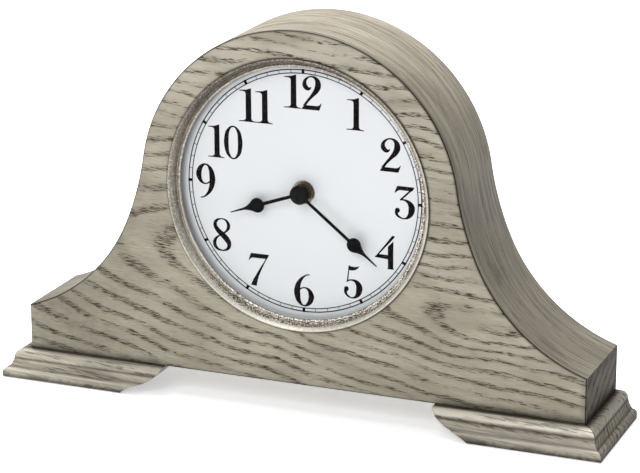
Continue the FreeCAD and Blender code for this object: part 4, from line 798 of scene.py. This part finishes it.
def dress_nodes():
    """Gives every node of the frame its own finish or that of its slot."""
    slots = {part["node"]: part["material_slot"] for part in frame["record"]["subparts"]}
    for name, node in frame["nodes"].items():
        own = node_finish.get(name.removesuffix("_left").removesuffix("_right"))
        for slot in node.material_slots:
            slot.material = own or slot_finish[slots[name]]


# the case

def length_along(place):
    """How far a place lies from the top of the arch along the outline, and how far outside it, in mm."""
    arch, arch_radius, arch_turn, _ = ARCS[0]
    upper, upper_radius, upper_turn, _ = ARCS[1]
    lower, lower_radius, _, _ = ARCS[2]
    x = abs(place.x)
    z = place.z
    side = 1 if place.x >= 0 else -1
    from_top = atan2(x - arch.x, z - arch.z)
    on_upper = atan2(upper.z - z, upper.x - x) - SWEEP_START
    if 0 <= from_top <= arch_turn:
        along = from_top * arch_radius
        out = hypot(x, z - arch.z) - arch_radius
    elif on_upper <= upper_turn:
        along = arch_turn * arch_radius + max(on_upper, 0) * upper_radius
        out = upper_radius - hypot(upper.x - x, upper.z - z)
    else:
        on_lower = atan2(lower.z - z, lower.x - x) - SWEEP_TURN
        along = arch_turn * arch_radius + upper_turn * upper_radius + on_lower * lower_radius
        out = lower_radius - hypot(lower.x - x, lower.z - z)
    return side * along / MM, out / MM


def draw_outline(steps=(48, 16, 26), beyond=0):
    """Draws the open line on from the left corner over the arch to the right corner."""
    half = list(zip(ARCS, steps))
    for side, arcs in ((-1, reversed(half)), (1, half)):
        for (centre, radius, turn, hand), count in arcs:
            extra = beyond / radius if centre is ARCS[2][0] else 0
            bend((centre.x * side, 0, centre.z), (0, 1, 0), hand * (turn + extra), count)


def clear_of_opening(place):
    return hypot(place.x, place.z - DIAL_Z) > OPENING_ROOM


def on_end(face):
    """True for a face that lies in the plinth's end."""
    return abs(face.normal.x) > 0.99 and abs(face.center.x) > HALF_WIDTH - HAIR


def front_board():
    """The sawn front: outline and round opening, filled, drawn back and eased."""
    board = start_line("front_board", (-HALF_WIDTH, FRONT_FACE, FOOT_TOP))
    run((0, 0, PLINTH_TOP - FOOT_TOP))
    draw_outline()
    run((0, 0, FOOT_TOP - PLINTH_TOP))
    merge_doubles(board)
    pick(board, "VERT", lambda place: place.z < FOOT_TOP + CLOSE)
    bpy.ops.mesh.edge_face_add()
    opening = add_circle(OPENING_RADIUS, 160, FRONT_FACE)
    hold(board, opening)
    bpy.ops.object.join()
    settle(board)
    edit(board, "EDGE")
    bpy.ops.mesh.fill(use_beauty=True)
    bpy.ops.mesh.select_all(action="SELECT")
    bpy.ops.mesh.dissolve_limited(angle_limit=radians(0.2), use_dissolve_boundaries=False)
    bpy.ops.mesh.select_all(action="SELECT")
    run((0, FRONT_BACK - FRONT_FACE, 0))
    tidy_shell(board)
    pick(board, "EDGE", lambda a, b: max(a.y, b.y) < FRONT_FACE + HAIR and on_rim(a) and on_rim(b))
    ease(EDGE_ROUNDING, 4)
    write_on_corners(board, "grain", board_grain)
    write_on_corners(board, "glaze", board_glaze)
    complete(board, 30, [front_oak, strip_oak, end_oak], "case", "grey_oak", "front_panel")
    for face in board.data.polygons:
        on_strip = on_edge(face.normal, face.center) and face.center.z > FOOT_TOP + CLOSE
        face.material_index = 2 if on_end(face) else 1 if on_strip else 0


def on_rim(place):
    """True on the board's outer edge."""
    on_side = abs(place.x) > HALF_WIDTH - HAIR
    return clear_of_opening(place) and (on_side or abs(length_along(place)[1]) < 0.05)


def on_edge(normal, centre):
    """True for a face of the board's outer edge and half its rounding, but not on the plinth's ends."""
    return abs(normal.y) < 0.72 and clear_of_opening(centre) and abs(centre.x) < HALF_WIDTH - CLOSE


def board_grain(place, normal, centre):
    if on_edge(normal, centre) and centre.z > PLINTH_TOP - 2 * MM:
        along, out = length_along(place)
        return (along, place.y / MM, out)
    return place / MM


def board_glaze(place, normal, centre):
    """The glaze in the board's rounded edge, by how far back in the rounding the place lies."""
    back = (place.y - FRONT_FACE) / EDGE_ROUNDING
    rounded = 0.01 <= abs(normal.y) <= 0.999
    if rounded and clear_of_opening(place) and place.z >= FOOT_TOP + CLOSE:
        for end, glaze in ((0.02, 0.05), (0.12, 0.35), (0.5, 1), (0.9, 0.8)):
            if back < end:
                return (glaze, 0, 0)
    return (0, 0, 0)


def strip_grain(place, normal, centre):
    along, out = length_along(place)
    return (along, place.y / MM, out)


def tambour_cover():
    """The bent strip over the arch and down both sweeps, drawn too long and cut at the plinth's ends."""
    beyond = 4 * MM
    centre, radius, turn, _ = ARCS[2]
    angle = SWEEP_TURN + turn + beyond / radius
    start = (radius * cos(angle) - centre.x, FRONT_BACK, centre.z - radius * sin(angle))
    cover = start_line("bent_cover", start)
    draw_outline((64, 20, 34), beyond)
    merge_doubles(cover, kind="EDGE")
    run((0, CASE_BACK - FRONT_BACK, 0))
    tidy_shell(cover)
    up = [face.normal.z for face in cover.data.polygons if abs(face.center.x) < 0.01][0]
    hold(cover)
    wall = cover.modifiers.new("wall", "SOLIDIFY")
    wall.thickness = COVER_THICKNESS
    wall.offset = -1 if up > 0 else 1
    wall.use_even_offset = True
    bpy.ops.object.modifier_apply(modifier=wall.name)
    if up < 0:
        tidy_shell(cover)
    for side in (-1, 1):
        edit(cover, "FACE")
        bpy.ops.mesh.bisect(
            plane_co=(side * HALF_WIDTH, 0, 0), plane_no=(side, 0, 0), use_fill=True, clear_outer=True)

    def on_back_rim(*ends):
        return all(end.y > CASE_BACK - HAIR and abs(length_along(end)[1]) < 0.2 for end in ends)

    pick(cover, "EDGE", on_back_rim)
    ease(0.8 * MM, 3)
    write_on_corners(cover, "grain", strip_grain)
    write_on_corners(cover, "glaze", lambda *_: (0, 0, 0))
    complete(cover, 30, [strip_oak, end_oak], "case", "grey_oak", "tambour_cover")
    for face in cover.data.polygons:
        face.material_index = 1 if on_end(face) else 0


# bezel, glass and dial

def off_dial(radius, height):
    """The place over the twelve at a radius and a height off the dial's face, both in mm."""
    return Vector((0, DIAL_FACE - height * MM, DIAL_Z + radius * MM))


def turned(name, profile, steps=160):
    """Spins a closed profile round the dial's axis. Each entry is a radius and a height off the dial's
    face, in mm, or for an arc those of its centre and its turn in degrees."""
    here = off_dial(*profile[0])
    piece = start_line(name, here)
    for radius, height, *arc in profile[1:]:
        there = off_dial(radius, height)
        if arc:
            turn = radians(arc[0])
            bend(there, (1, 0, 0), turn, max(6, int(abs(arc[0]) / 4)))
            here = there + Matrix.Rotation(turn, 3, "X") @ (here - there)
        else:
            run(there - here)
            here = there
    bpy.ops.mesh.select_all(action="SELECT")
    bpy.ops.mesh.spin(steps=steps, angle=2 * pi, center=(0, DIAL_FACE, DIAL_Z), axis=(0, 1, 0))
    tidy_shell(piece, 0.000005)
    return piece


def bezel():
    """The turned ring: an outer lip, a hollow slope and a rolled bead over the glass."""
    hollow_radius = 12
    lip = (84.95, 13.3)
    foot = (82.3, 7.6)
    reach = Vector(foot) - Vector(lip)
    half = reach.length / 2
    across = Vector((-reach.y, reach.x)).normalized()
    centre = Vector(lip) + reach / 2 + across * sqrt(hollow_radius * hollow_radius - half * half)
    start, end = (atan2(y - centre.y, x - centre.x) for x, y in (lip, foot))
    turn = degrees((end - start + pi) % (2 * pi) - pi)
    ring = turned("bezel_ring_turned", [
        (83.7, 3.1), (84.7, 3.1), (84.7, 12), (85.75, 12), (86, 12.2), (86, 12.75), (85.85, 13.1),
        (85.5, 13.3), lip, (*centre, turn), (82.3, 7), (81.9, 6.9), (81.7, 7.15), (81.2, 7.4), (80.6, 7.45),
        (80.1, 7.3), (79.8, 7), (79.7, 6.65), (79.8, 6.3), (83.7, 6.3), (83.7, 3.1)])
    complete(ring, 40, [nickel], "case", "antique_nickel", "bezel_ring")


def glass():
    """The domed glass: two shells of one piece with a flat rim."""
    rim = 83.6
    inside = 4.3
    outside = 6.3
    edge = 80.4
    crown = 9
    big = (edge * edge + crown * crown) / (2 * crown)
    radii = (edge, 78, 74, 68, 61, 53, 44, 34, 24, 14, 6, 0)

    def dome_height(radius):
        return sqrt(big * big - radius * radius) - (big - crown)

    outer = [(radius, outside + dome_height(radius)) for radius in radii]
    inner = [(radius, inside + dome_height(radius)) for radius in reversed(radii)]
    dome = turned("domed_glass", [(rim, inside), (rim, outside), *outer, *inner, (rim, inside)], 128)
    complete(dome, 40, [slot_finish["clear_glass"]], "case", "clear_glass", "glass_dome")


def coved_ring():
    """The pale ring between dial and glass: its inner face sweeps down to the dial."""
    ring = turned("coved_dial_ring", [
        (84.7, 0), (84.7, 3.1), (80.95, 3.1), (80.4, 2.2), (79.75, 1.4), (78.9, 0.7), (78.1, 0.25),
        (77.5, 0.06), (77.5, 0), (84.7, 0)])
    complete(ring, 40, [ring_lacquer()], "case", "spacer_grey", "dial_spacer_ring")


def hand_cap():
    cap = turned("round_hand_cap", [
        (0, 6.7), (5.7, 6.7), (6, 6.95), (6, 7.75), (5.86, 8.1), (5.5, 8.45), (4.9, 8.8), (4.1, 9.14),
        (3.1, 9.42), (2, 9.6), (1, 9.68), (0, 9.7)], 64)
    complete(cap, 45, [cap_black], "minute", "hand_black", "hand_cap")


def minute_track():
    """Two thin rings and sixty marks, a block at each hour. The grey minute marks are a piece apart."""
    height = DIAL_FACE - PRINT_HEIGHT
    middle = (0, height, DIAL_Z)
    long = TRACK_OUTER - TRACK_INNER
    black = []
    grey = []
    for radius, wide in ((TRACK_OUTER, 0.7 * MM), (TRACK_INNER, 0.6 * MM)):
        ring = add_circle(radius - wide, 180, height)
        settle(ring)
        edit(ring, "EDGE")
        bpy.ops.mesh.extrude_edges_move()
        spread = radius / (radius - wide)
        bpy.ops.transform.resize(value=(spread, 1, spread), center_override=middle)
        black.append(ring)
    for minute in range(60):
        on_hour = minute % 5 == 0
        let_go()
        bpy.ops.mesh.primitive_plane_add(
            size=1, location=(0, height, DIAL_Z + TRACK_INNER + long / 2), rotation=(pi / 2, 0, 0))
        mark = bpy.context.object
        mark.scale = (1.8 * MM, long + 0.3 * MM, 1) if on_hour else (0.4 * MM, long, 1)
        settle(mark)
        edit(mark, "FACE")
        bpy.ops.transform.rotate(value=radians(minute * 6), orient_axis="Y", center_override=middle)
        (black if on_hour else grey).append(mark)
    let_go()
    return black, grey


# each digit's filled shapes, strokes with their half widths, and balls, in hundredths of its height
NUMERAL = {
    "1": [
        ("flat", [(0, 0), (55, 0), (55, 2.4), (44, 4), (39.6, 9), (39.2, 100), (35.5, 99.2), (24, 94.8),
            (1.5, 92.6), (1.5, 90.2), (14, 90), (20, 88), (22, 83), (21.8, 9), (17, 4), (0, 2.4)]),
    ],
    "2": [
        ("stroke", [(30, 66.5, 0.8), (22, 61.6, 4.4), (11.8, 67, 6.6), (9, 79, 5.2), (17, 92.5, 2.6),
            (31, 98.2, 1.8), (44.5, 92.5, 4.8), (51, 77, 8.4), (46.5, 60, 7.6), (34, 43.5, 4.8),
            (20, 27, 3.3), (7, 9, 3.4)]),
        ("flat", [(0, 0), (55, 0), (62, 21), (59.8, 21.5), (56, 16), (49, 12.8), (15, 12.8), (3, 7)]),
    ],
    "3": [
        ("flat", [(8, 100), (57.5, 100), (57.5, 96.5), (52, 87.6), (15, 87.6), (9.5, 85), (3.2, 78.4),
            (0, 79.6)]),
        ("stroke", [(56, 98, 1.8), (38, 79, 2.1), (18, 58, 2)]),
        ("stroke", [(16.5, 57.6, 1.2), (25, 59, 1.7), (37, 56, 3.8), (48.6, 44, 7.9), (50.6, 28, 8.6),
            (43, 9.5, 5.2), (30, 1.7, 1.7), (16, 4.8, 2.4), (6.6, 14.5, 3.8), (7.6, 23, 5.2)]),
        ("ball", (9.2, 25.5, 7.4)),
    ],
    "4": [
        ("flat", [(50.5, 99.8), (59.5, 98.4), (47, 82), (32, 65), (10.5, 39.5), (0, 34.5), (0, 32),
            (30.4, 72.1), (40.6, 86.3)]),
        ("flat", [(0, 31.6), (0, 34.6), (11, 41.6), (39, 41.6), (39, 28.8)]),
        ("flat", [(37.8, 66), (54.3, 84), (54.3, 5), (57, 0), (36.6, 0), (38.4, 5)]),
    ],
    "5": [
        ("flat", [(16, 100.5), (22, 97.3), (32, 96.3), (42, 98.2), (49, 100.6), (44, 93), (36, 87),
            (26, 84.6), (17, 85.2)]),
        ("stroke", [(17.2, 99, 1.3), (14.6, 76, 1.3), (11.8, 50, 1.5)]),
        ("stroke", [(9.4, 48.6, 1.1), (16.5, 54, 1.7), (26, 55.8, 2), (36.5, 53, 4.6), (46, 42.5, 8),
            (47.6, 27, 9), (41, 9.5, 5.4), (28.5, 1.8, 1.8), (15, 5, 2.3), (6.4, 15.5, 3.6),
            (7.2, 25, 5.4)]),
        ("ball", (8.8, 28, 7.2)),
    ],
    "6": [
        ("stroke", [(45.5, 98.2, 1.5), (38, 96.6, 1.4), (27, 89, 2.6), (15.4, 73, 5.6), (9.2, 50, 8),
            (9.6, 33, 8.2), (15.5, 12.5, 5.2), (28.5, 1.7, 1.8), (41.5, 8, 4.8), (49.8, 25, 7.4),
            (49.6, 38, 7), (42, 52.6, 3.8), (32, 57, 1.7), (22.5, 54.8, 1.5), (16, 49, 1.4)]),
    ],
    "7": [
        ("flat", [(6.8, 100), (61, 100), (61, 97.3), (49, 75), (39, 53), (30, 30), (25, 10), (23.6, 0),
            (6.4, 2.2), (14, 20), (25, 40), (36, 60), (48, 80), (50.4, 86.4), (14, 86.4), (7, 84),
            (2.6, 77.4), (0, 78)]),
    ],
    "8": [
        ("stroke", [(26.5, 98.5, 1.4), (13, 92.5, 3.4), (7.4, 79.5, 4.9), (13.5, 66, 6.2), (28, 52, 7.6),
            (43, 37.5, 8.2), (50.4, 23.5, 6.2), (45.5, 8.5, 3.8), (31, 1.6, 1.6)]),
        ("stroke", [(31, 1.6, 1.6), (14.5, 6, 3.2), (5.6, 19.5, 4.8), (8.4, 34.5, 3.8), (18, 45, 2),
            (29, 52.4, 1.6), (42, 62, 2.6), (49, 75, 4.6), (46, 89, 3.8), (37, 96.8, 2),
            (26.5, 98.5, 1.4)]),
    ],
    "0": [
        ("loop", [(30, 98.3, 1.7), (46.5, 86, 4.6), (52.8, 62, 7), (52.8, 38, 7), (46.5, 14, 4.6),
            (30, 1.7, 1.7), (13.5, 14, 4.6), (7.2, 38, 7), (7.2, 62, 7), (13.5, 86, 4.6)]),
    ],
}

DIGIT_HEIGHT = 100
DIGIT_WIDTH = {"1": 55, "2": 62, "3": 59, "4": 60, "5": 57, "6": 58, "7": 61, "8": 57, "9": 58, "0": 60}

# each numeral's left, right, bottom and top edge in mm, with the dial's middle at zero
HOUR_PLACES = {
    "12": (-12.7, 12.1, 52.4, 73.5), "1": (28.2, 39.5, 42.4, 62.7), "2": (49.8, 63.3, 18.8, 39.8),
    "3": (59.3, 72.2, -9.9, 10.6), "4": (46.9, 60.1, -42.8, -21.2), "5": (26.4, 38.7, -64.4, -43.3),
    "6": (-6.5, 6.7, -73.5, -52.3), "7": (-37, -23.3, -64.2, -43), "8": (-61.2, -48.7, -44.1, -22.7),
    "9": (-71.8, -59, -11, 11.4), "10": (-63.6, -40.6, 16.2, 37.4), "11": (-42.6, -20.1, 40.9, 62.2),
}


def add_object(name, data):
    thing = bpy.data.objects.new(name, data)
    bpy.context.scene.collection.objects.link(thing)
    return thing


def flat_curve(name, points, closed, nib=None):
    """A flat curve: straight between its points and filled, or smooth, with a nib that gives it its width.
    Each point of a smooth one also gives half the stroke's width."""
    data = bpy.data.curves.new(name, "CURVE")
    data.dimensions = "2D"
    data.resolution_u = 6
    if nib:
        data.fill_mode = "NONE"
        data.bevel_mode = "OBJECT"
        data.bevel_object = nib
        line = data.splines.new("BEZIER")
        line.radius_interpolation = "CARDINAL"
        line.bezier_points.add(len(points) - 1)
        for point, (x, y, half) in zip(line.bezier_points, points):
            point.co = (x, y, 0)
            point.radius = half + 0.5
            point.handle_left_type = "AUTO"
            point.handle_right_type = "AUTO"
    else:
        data.fill_mode = "BOTH"
        line = data.splines.new("POLY")
        line.points.add(len(points) - 1)
        for point, (x, y) in zip(line.points, points):
            point.co = (x, y, 0, 1)
    line.use_cyclic_u = closed
    return add_object(name, data)


def digit_shapes(digit, nib):
    """The flat shapes of one digit, in its own units. A nine is a six turned over."""
    turned_over = digit == "9"
    shapes = []
    for kind, points in NUMERAL["6" if turned_over else digit]:
        if kind == "ball":
            x, y, radius = points
            let_go()
            bpy.ops.mesh.primitive_circle_add(
                vertices=24, radius=radius, fill_type="NGON", location=(x, y, 0))
            settle(bpy.context.object)
        else:
            hold(flat_curve("numeral", points, kind != "stroke", None if kind == "flat" else nib))
            bpy.ops.object.convert(target="MESH")
        shape = bpy.context.object
        if turned_over:
            middle = (DIGIT_WIDTH["6"] / 2, DIGIT_HEIGHT / 2, 0)
            edit(shape)
            bpy.ops.transform.rotate(value=pi, orient_axis="Z", center_override=middle)
            let_go()
        shapes.append(shape)
    return shapes


def numerals():
    """The shapes of the twelve hours, each in its place on the dial."""
    let_go()
    nib = flat_curve("nib", [(-1, 0), (1, 0)], False)
    shapes = []
    for hour, (left, right, low, high) in HOUR_PLACES.items():
        widths = [DIGIT_WIDTH[digit] for digit in hour]
        gap = -4 if hour == "11" else 1
        across = (right - left) / (sum(widths) + gap * (len(widths) - 1)) * MM
        up = (high - low) / DIGIT_HEIGHT * MM
        start = left * MM
        for digit, width in zip(hour, widths):
            place = Matrix((
                (across, 0, 0, start),
                (0, 0, -1, DIAL_FACE - PRINT_HEIGHT),
                (0, up, 0, DIAL_Z + low * MM),
                (0, 0, 0, 1)))
            for shape in digit_shapes(digit, nib):
                shape.data.transform(place)
                shapes.append(shape)
            start += (width + gap) * across
    bpy.data.objects.remove(nib)
    return shapes


def joined_print(name, shapes, ink):
    """Joins the shapes to one thin print that faces the front."""
    hold(*shapes)
    bpy.ops.object.join()
    piece = shapes[0]
    piece.name = name
    settle(piece)
    merge_doubles(piece, 0.000001, "FACE")
    pick(piece, "FACE", lambda normal: normal.y > 0)
    bpy.ops.mesh.flip_normals()
    let_go()
    complete(piece, None, [ink], "case", "dial_white")


def dial_print():
    black_ink = print_ink("black dial ink", (22, 17, 18), (27, 22, 23))
    grey_ink = print_ink("grey dial ink", (96, 98, 102), (120, 122, 126))
    black, grey = minute_track()
    joined_print("printed_numerals", numerals(), black_ink)
    joined_print("printed_track", black, black_ink)
    joined_print("printed_minutes", grey, grey_ink)


# floor, backdrop, lamps and camera

def stage():
    """A white floor that fades into a white backdrop, and three lamps."""
    let_go()
    bpy.ops.mesh.primitive_plane_add(size=12, location=(0, 0, 0))
    floor = bpy.context.object
    floor.name = "studio_floor"
    finish = Finish("white studio floor")
    shade = finish.mix(finish.noise(scale=2, detail=1), (243, 243, 243), (246, 246, 246))
    x, y, _ = finish.parts(finish.place())
    glow = (x * x + y * y).root().ramp(0.5, 2.2, 0.5, 0.9)
    glowing = finish.add("Emission", {"Color": finish.joined(glow, glow, glow), "Strength": 1})
    dull = finish.add("BsdfDiffuse", {"Color": shade})
    both = finish.add("AddShader", {0: glowing, 1: dull})
    look = finish.add("MixShader", {0: finish.backdrop_rays(), 1: dull, 2: both})
    floor.data.materials.append(finish.show(look))

    world = bpy.data.worlds.new("studio")
    bpy.context.scene.world = world
    sky = Nodes(world)
    seen = sky.add("Background", {"Color": WHITE, "Strength": 1})
    light = sky.add("Background", {"Color": (0.96, 0.98, 1, 1), "Strength": 0.23})
    both = sky.add("MixShader", {0: sky.backdrop_rays(), 1: light, 2: seen})
    sky.add("OutputWorld", {"Surface": both})

    for name, (place, aim, size, power) in LAMPS.items():
        data = bpy.data.lights.new(name, "AREA")
        data.shape = "RECTANGLE"
        data.size, data.size_y = size
        data.energy = power
        lamp = add_object(name, data)
        lamp.location = place
        lamp.visible_transmission = False
        lamp.rotation_euler = (Vector(aim) - Vector(place)).to_track_quat("-Z", "Y").to_euler()


def camera():
    """The photograph's own view, fitted to its edges. The camera's lengths are in half widths of the case,
    the lens is in pixels of the photograph."""
    azimuth = radians(22.02)
    elevation = radians(17.034)
    roll = radians(-0.106)
    distance = 8.7331
    aside = 0.0188
    higher = 0.1425
    aim = Vector((0, 0.007 / HALF_WIDTH, 0.45))
    picture_width = 640
    picture_middle = (320, 236.5)
    lens_centre = (322.28, 225.29)
    lens_length = 2600.1
    sensor_width = 36

    back = Vector((sin(azimuth) * cos(elevation), -cos(azimuth) * cos(elevation), sin(elevation)))
    right = Vector((0, 0, 1)).cross(back).normalized()
    up = back.cross(right)
    across = right * cos(roll) + up * sin(roll)
    above = up * cos(roll) - right * sin(roll)
    place = (aim + back * distance + across * aside + above * higher) * HALF_WIDTH
    data = bpy.data.cameras.new("camera")
    data.sensor_width = sensor_width
    data.lens = lens_length / picture_width * sensor_width
    data.shift_x = (picture_middle[0] - lens_centre[0]) / picture_width
    data.shift_y = (lens_centre[1] - picture_middle[1]) / picture_width
    data.clip_start = 0.05
    data.clip_end = 30
    view = add_object("camera", data)
    view.matrix_world = Matrix((
        (across.x, above.x, back.x, place.x),
        (across.y, above.y, back.y, place.y),
        (across.z, above.z, back.z, place.z),
        (0, 0, 0, 1)))
    bpy.context.scene.camera = view


dress_nodes()
front_board()
tambour_cover()
bezel()
glass()
coved_ring()
hand_cap()
dial_print()
stage()
camera()
bpy.context.scene.view_settings.view_transform = "Standard"
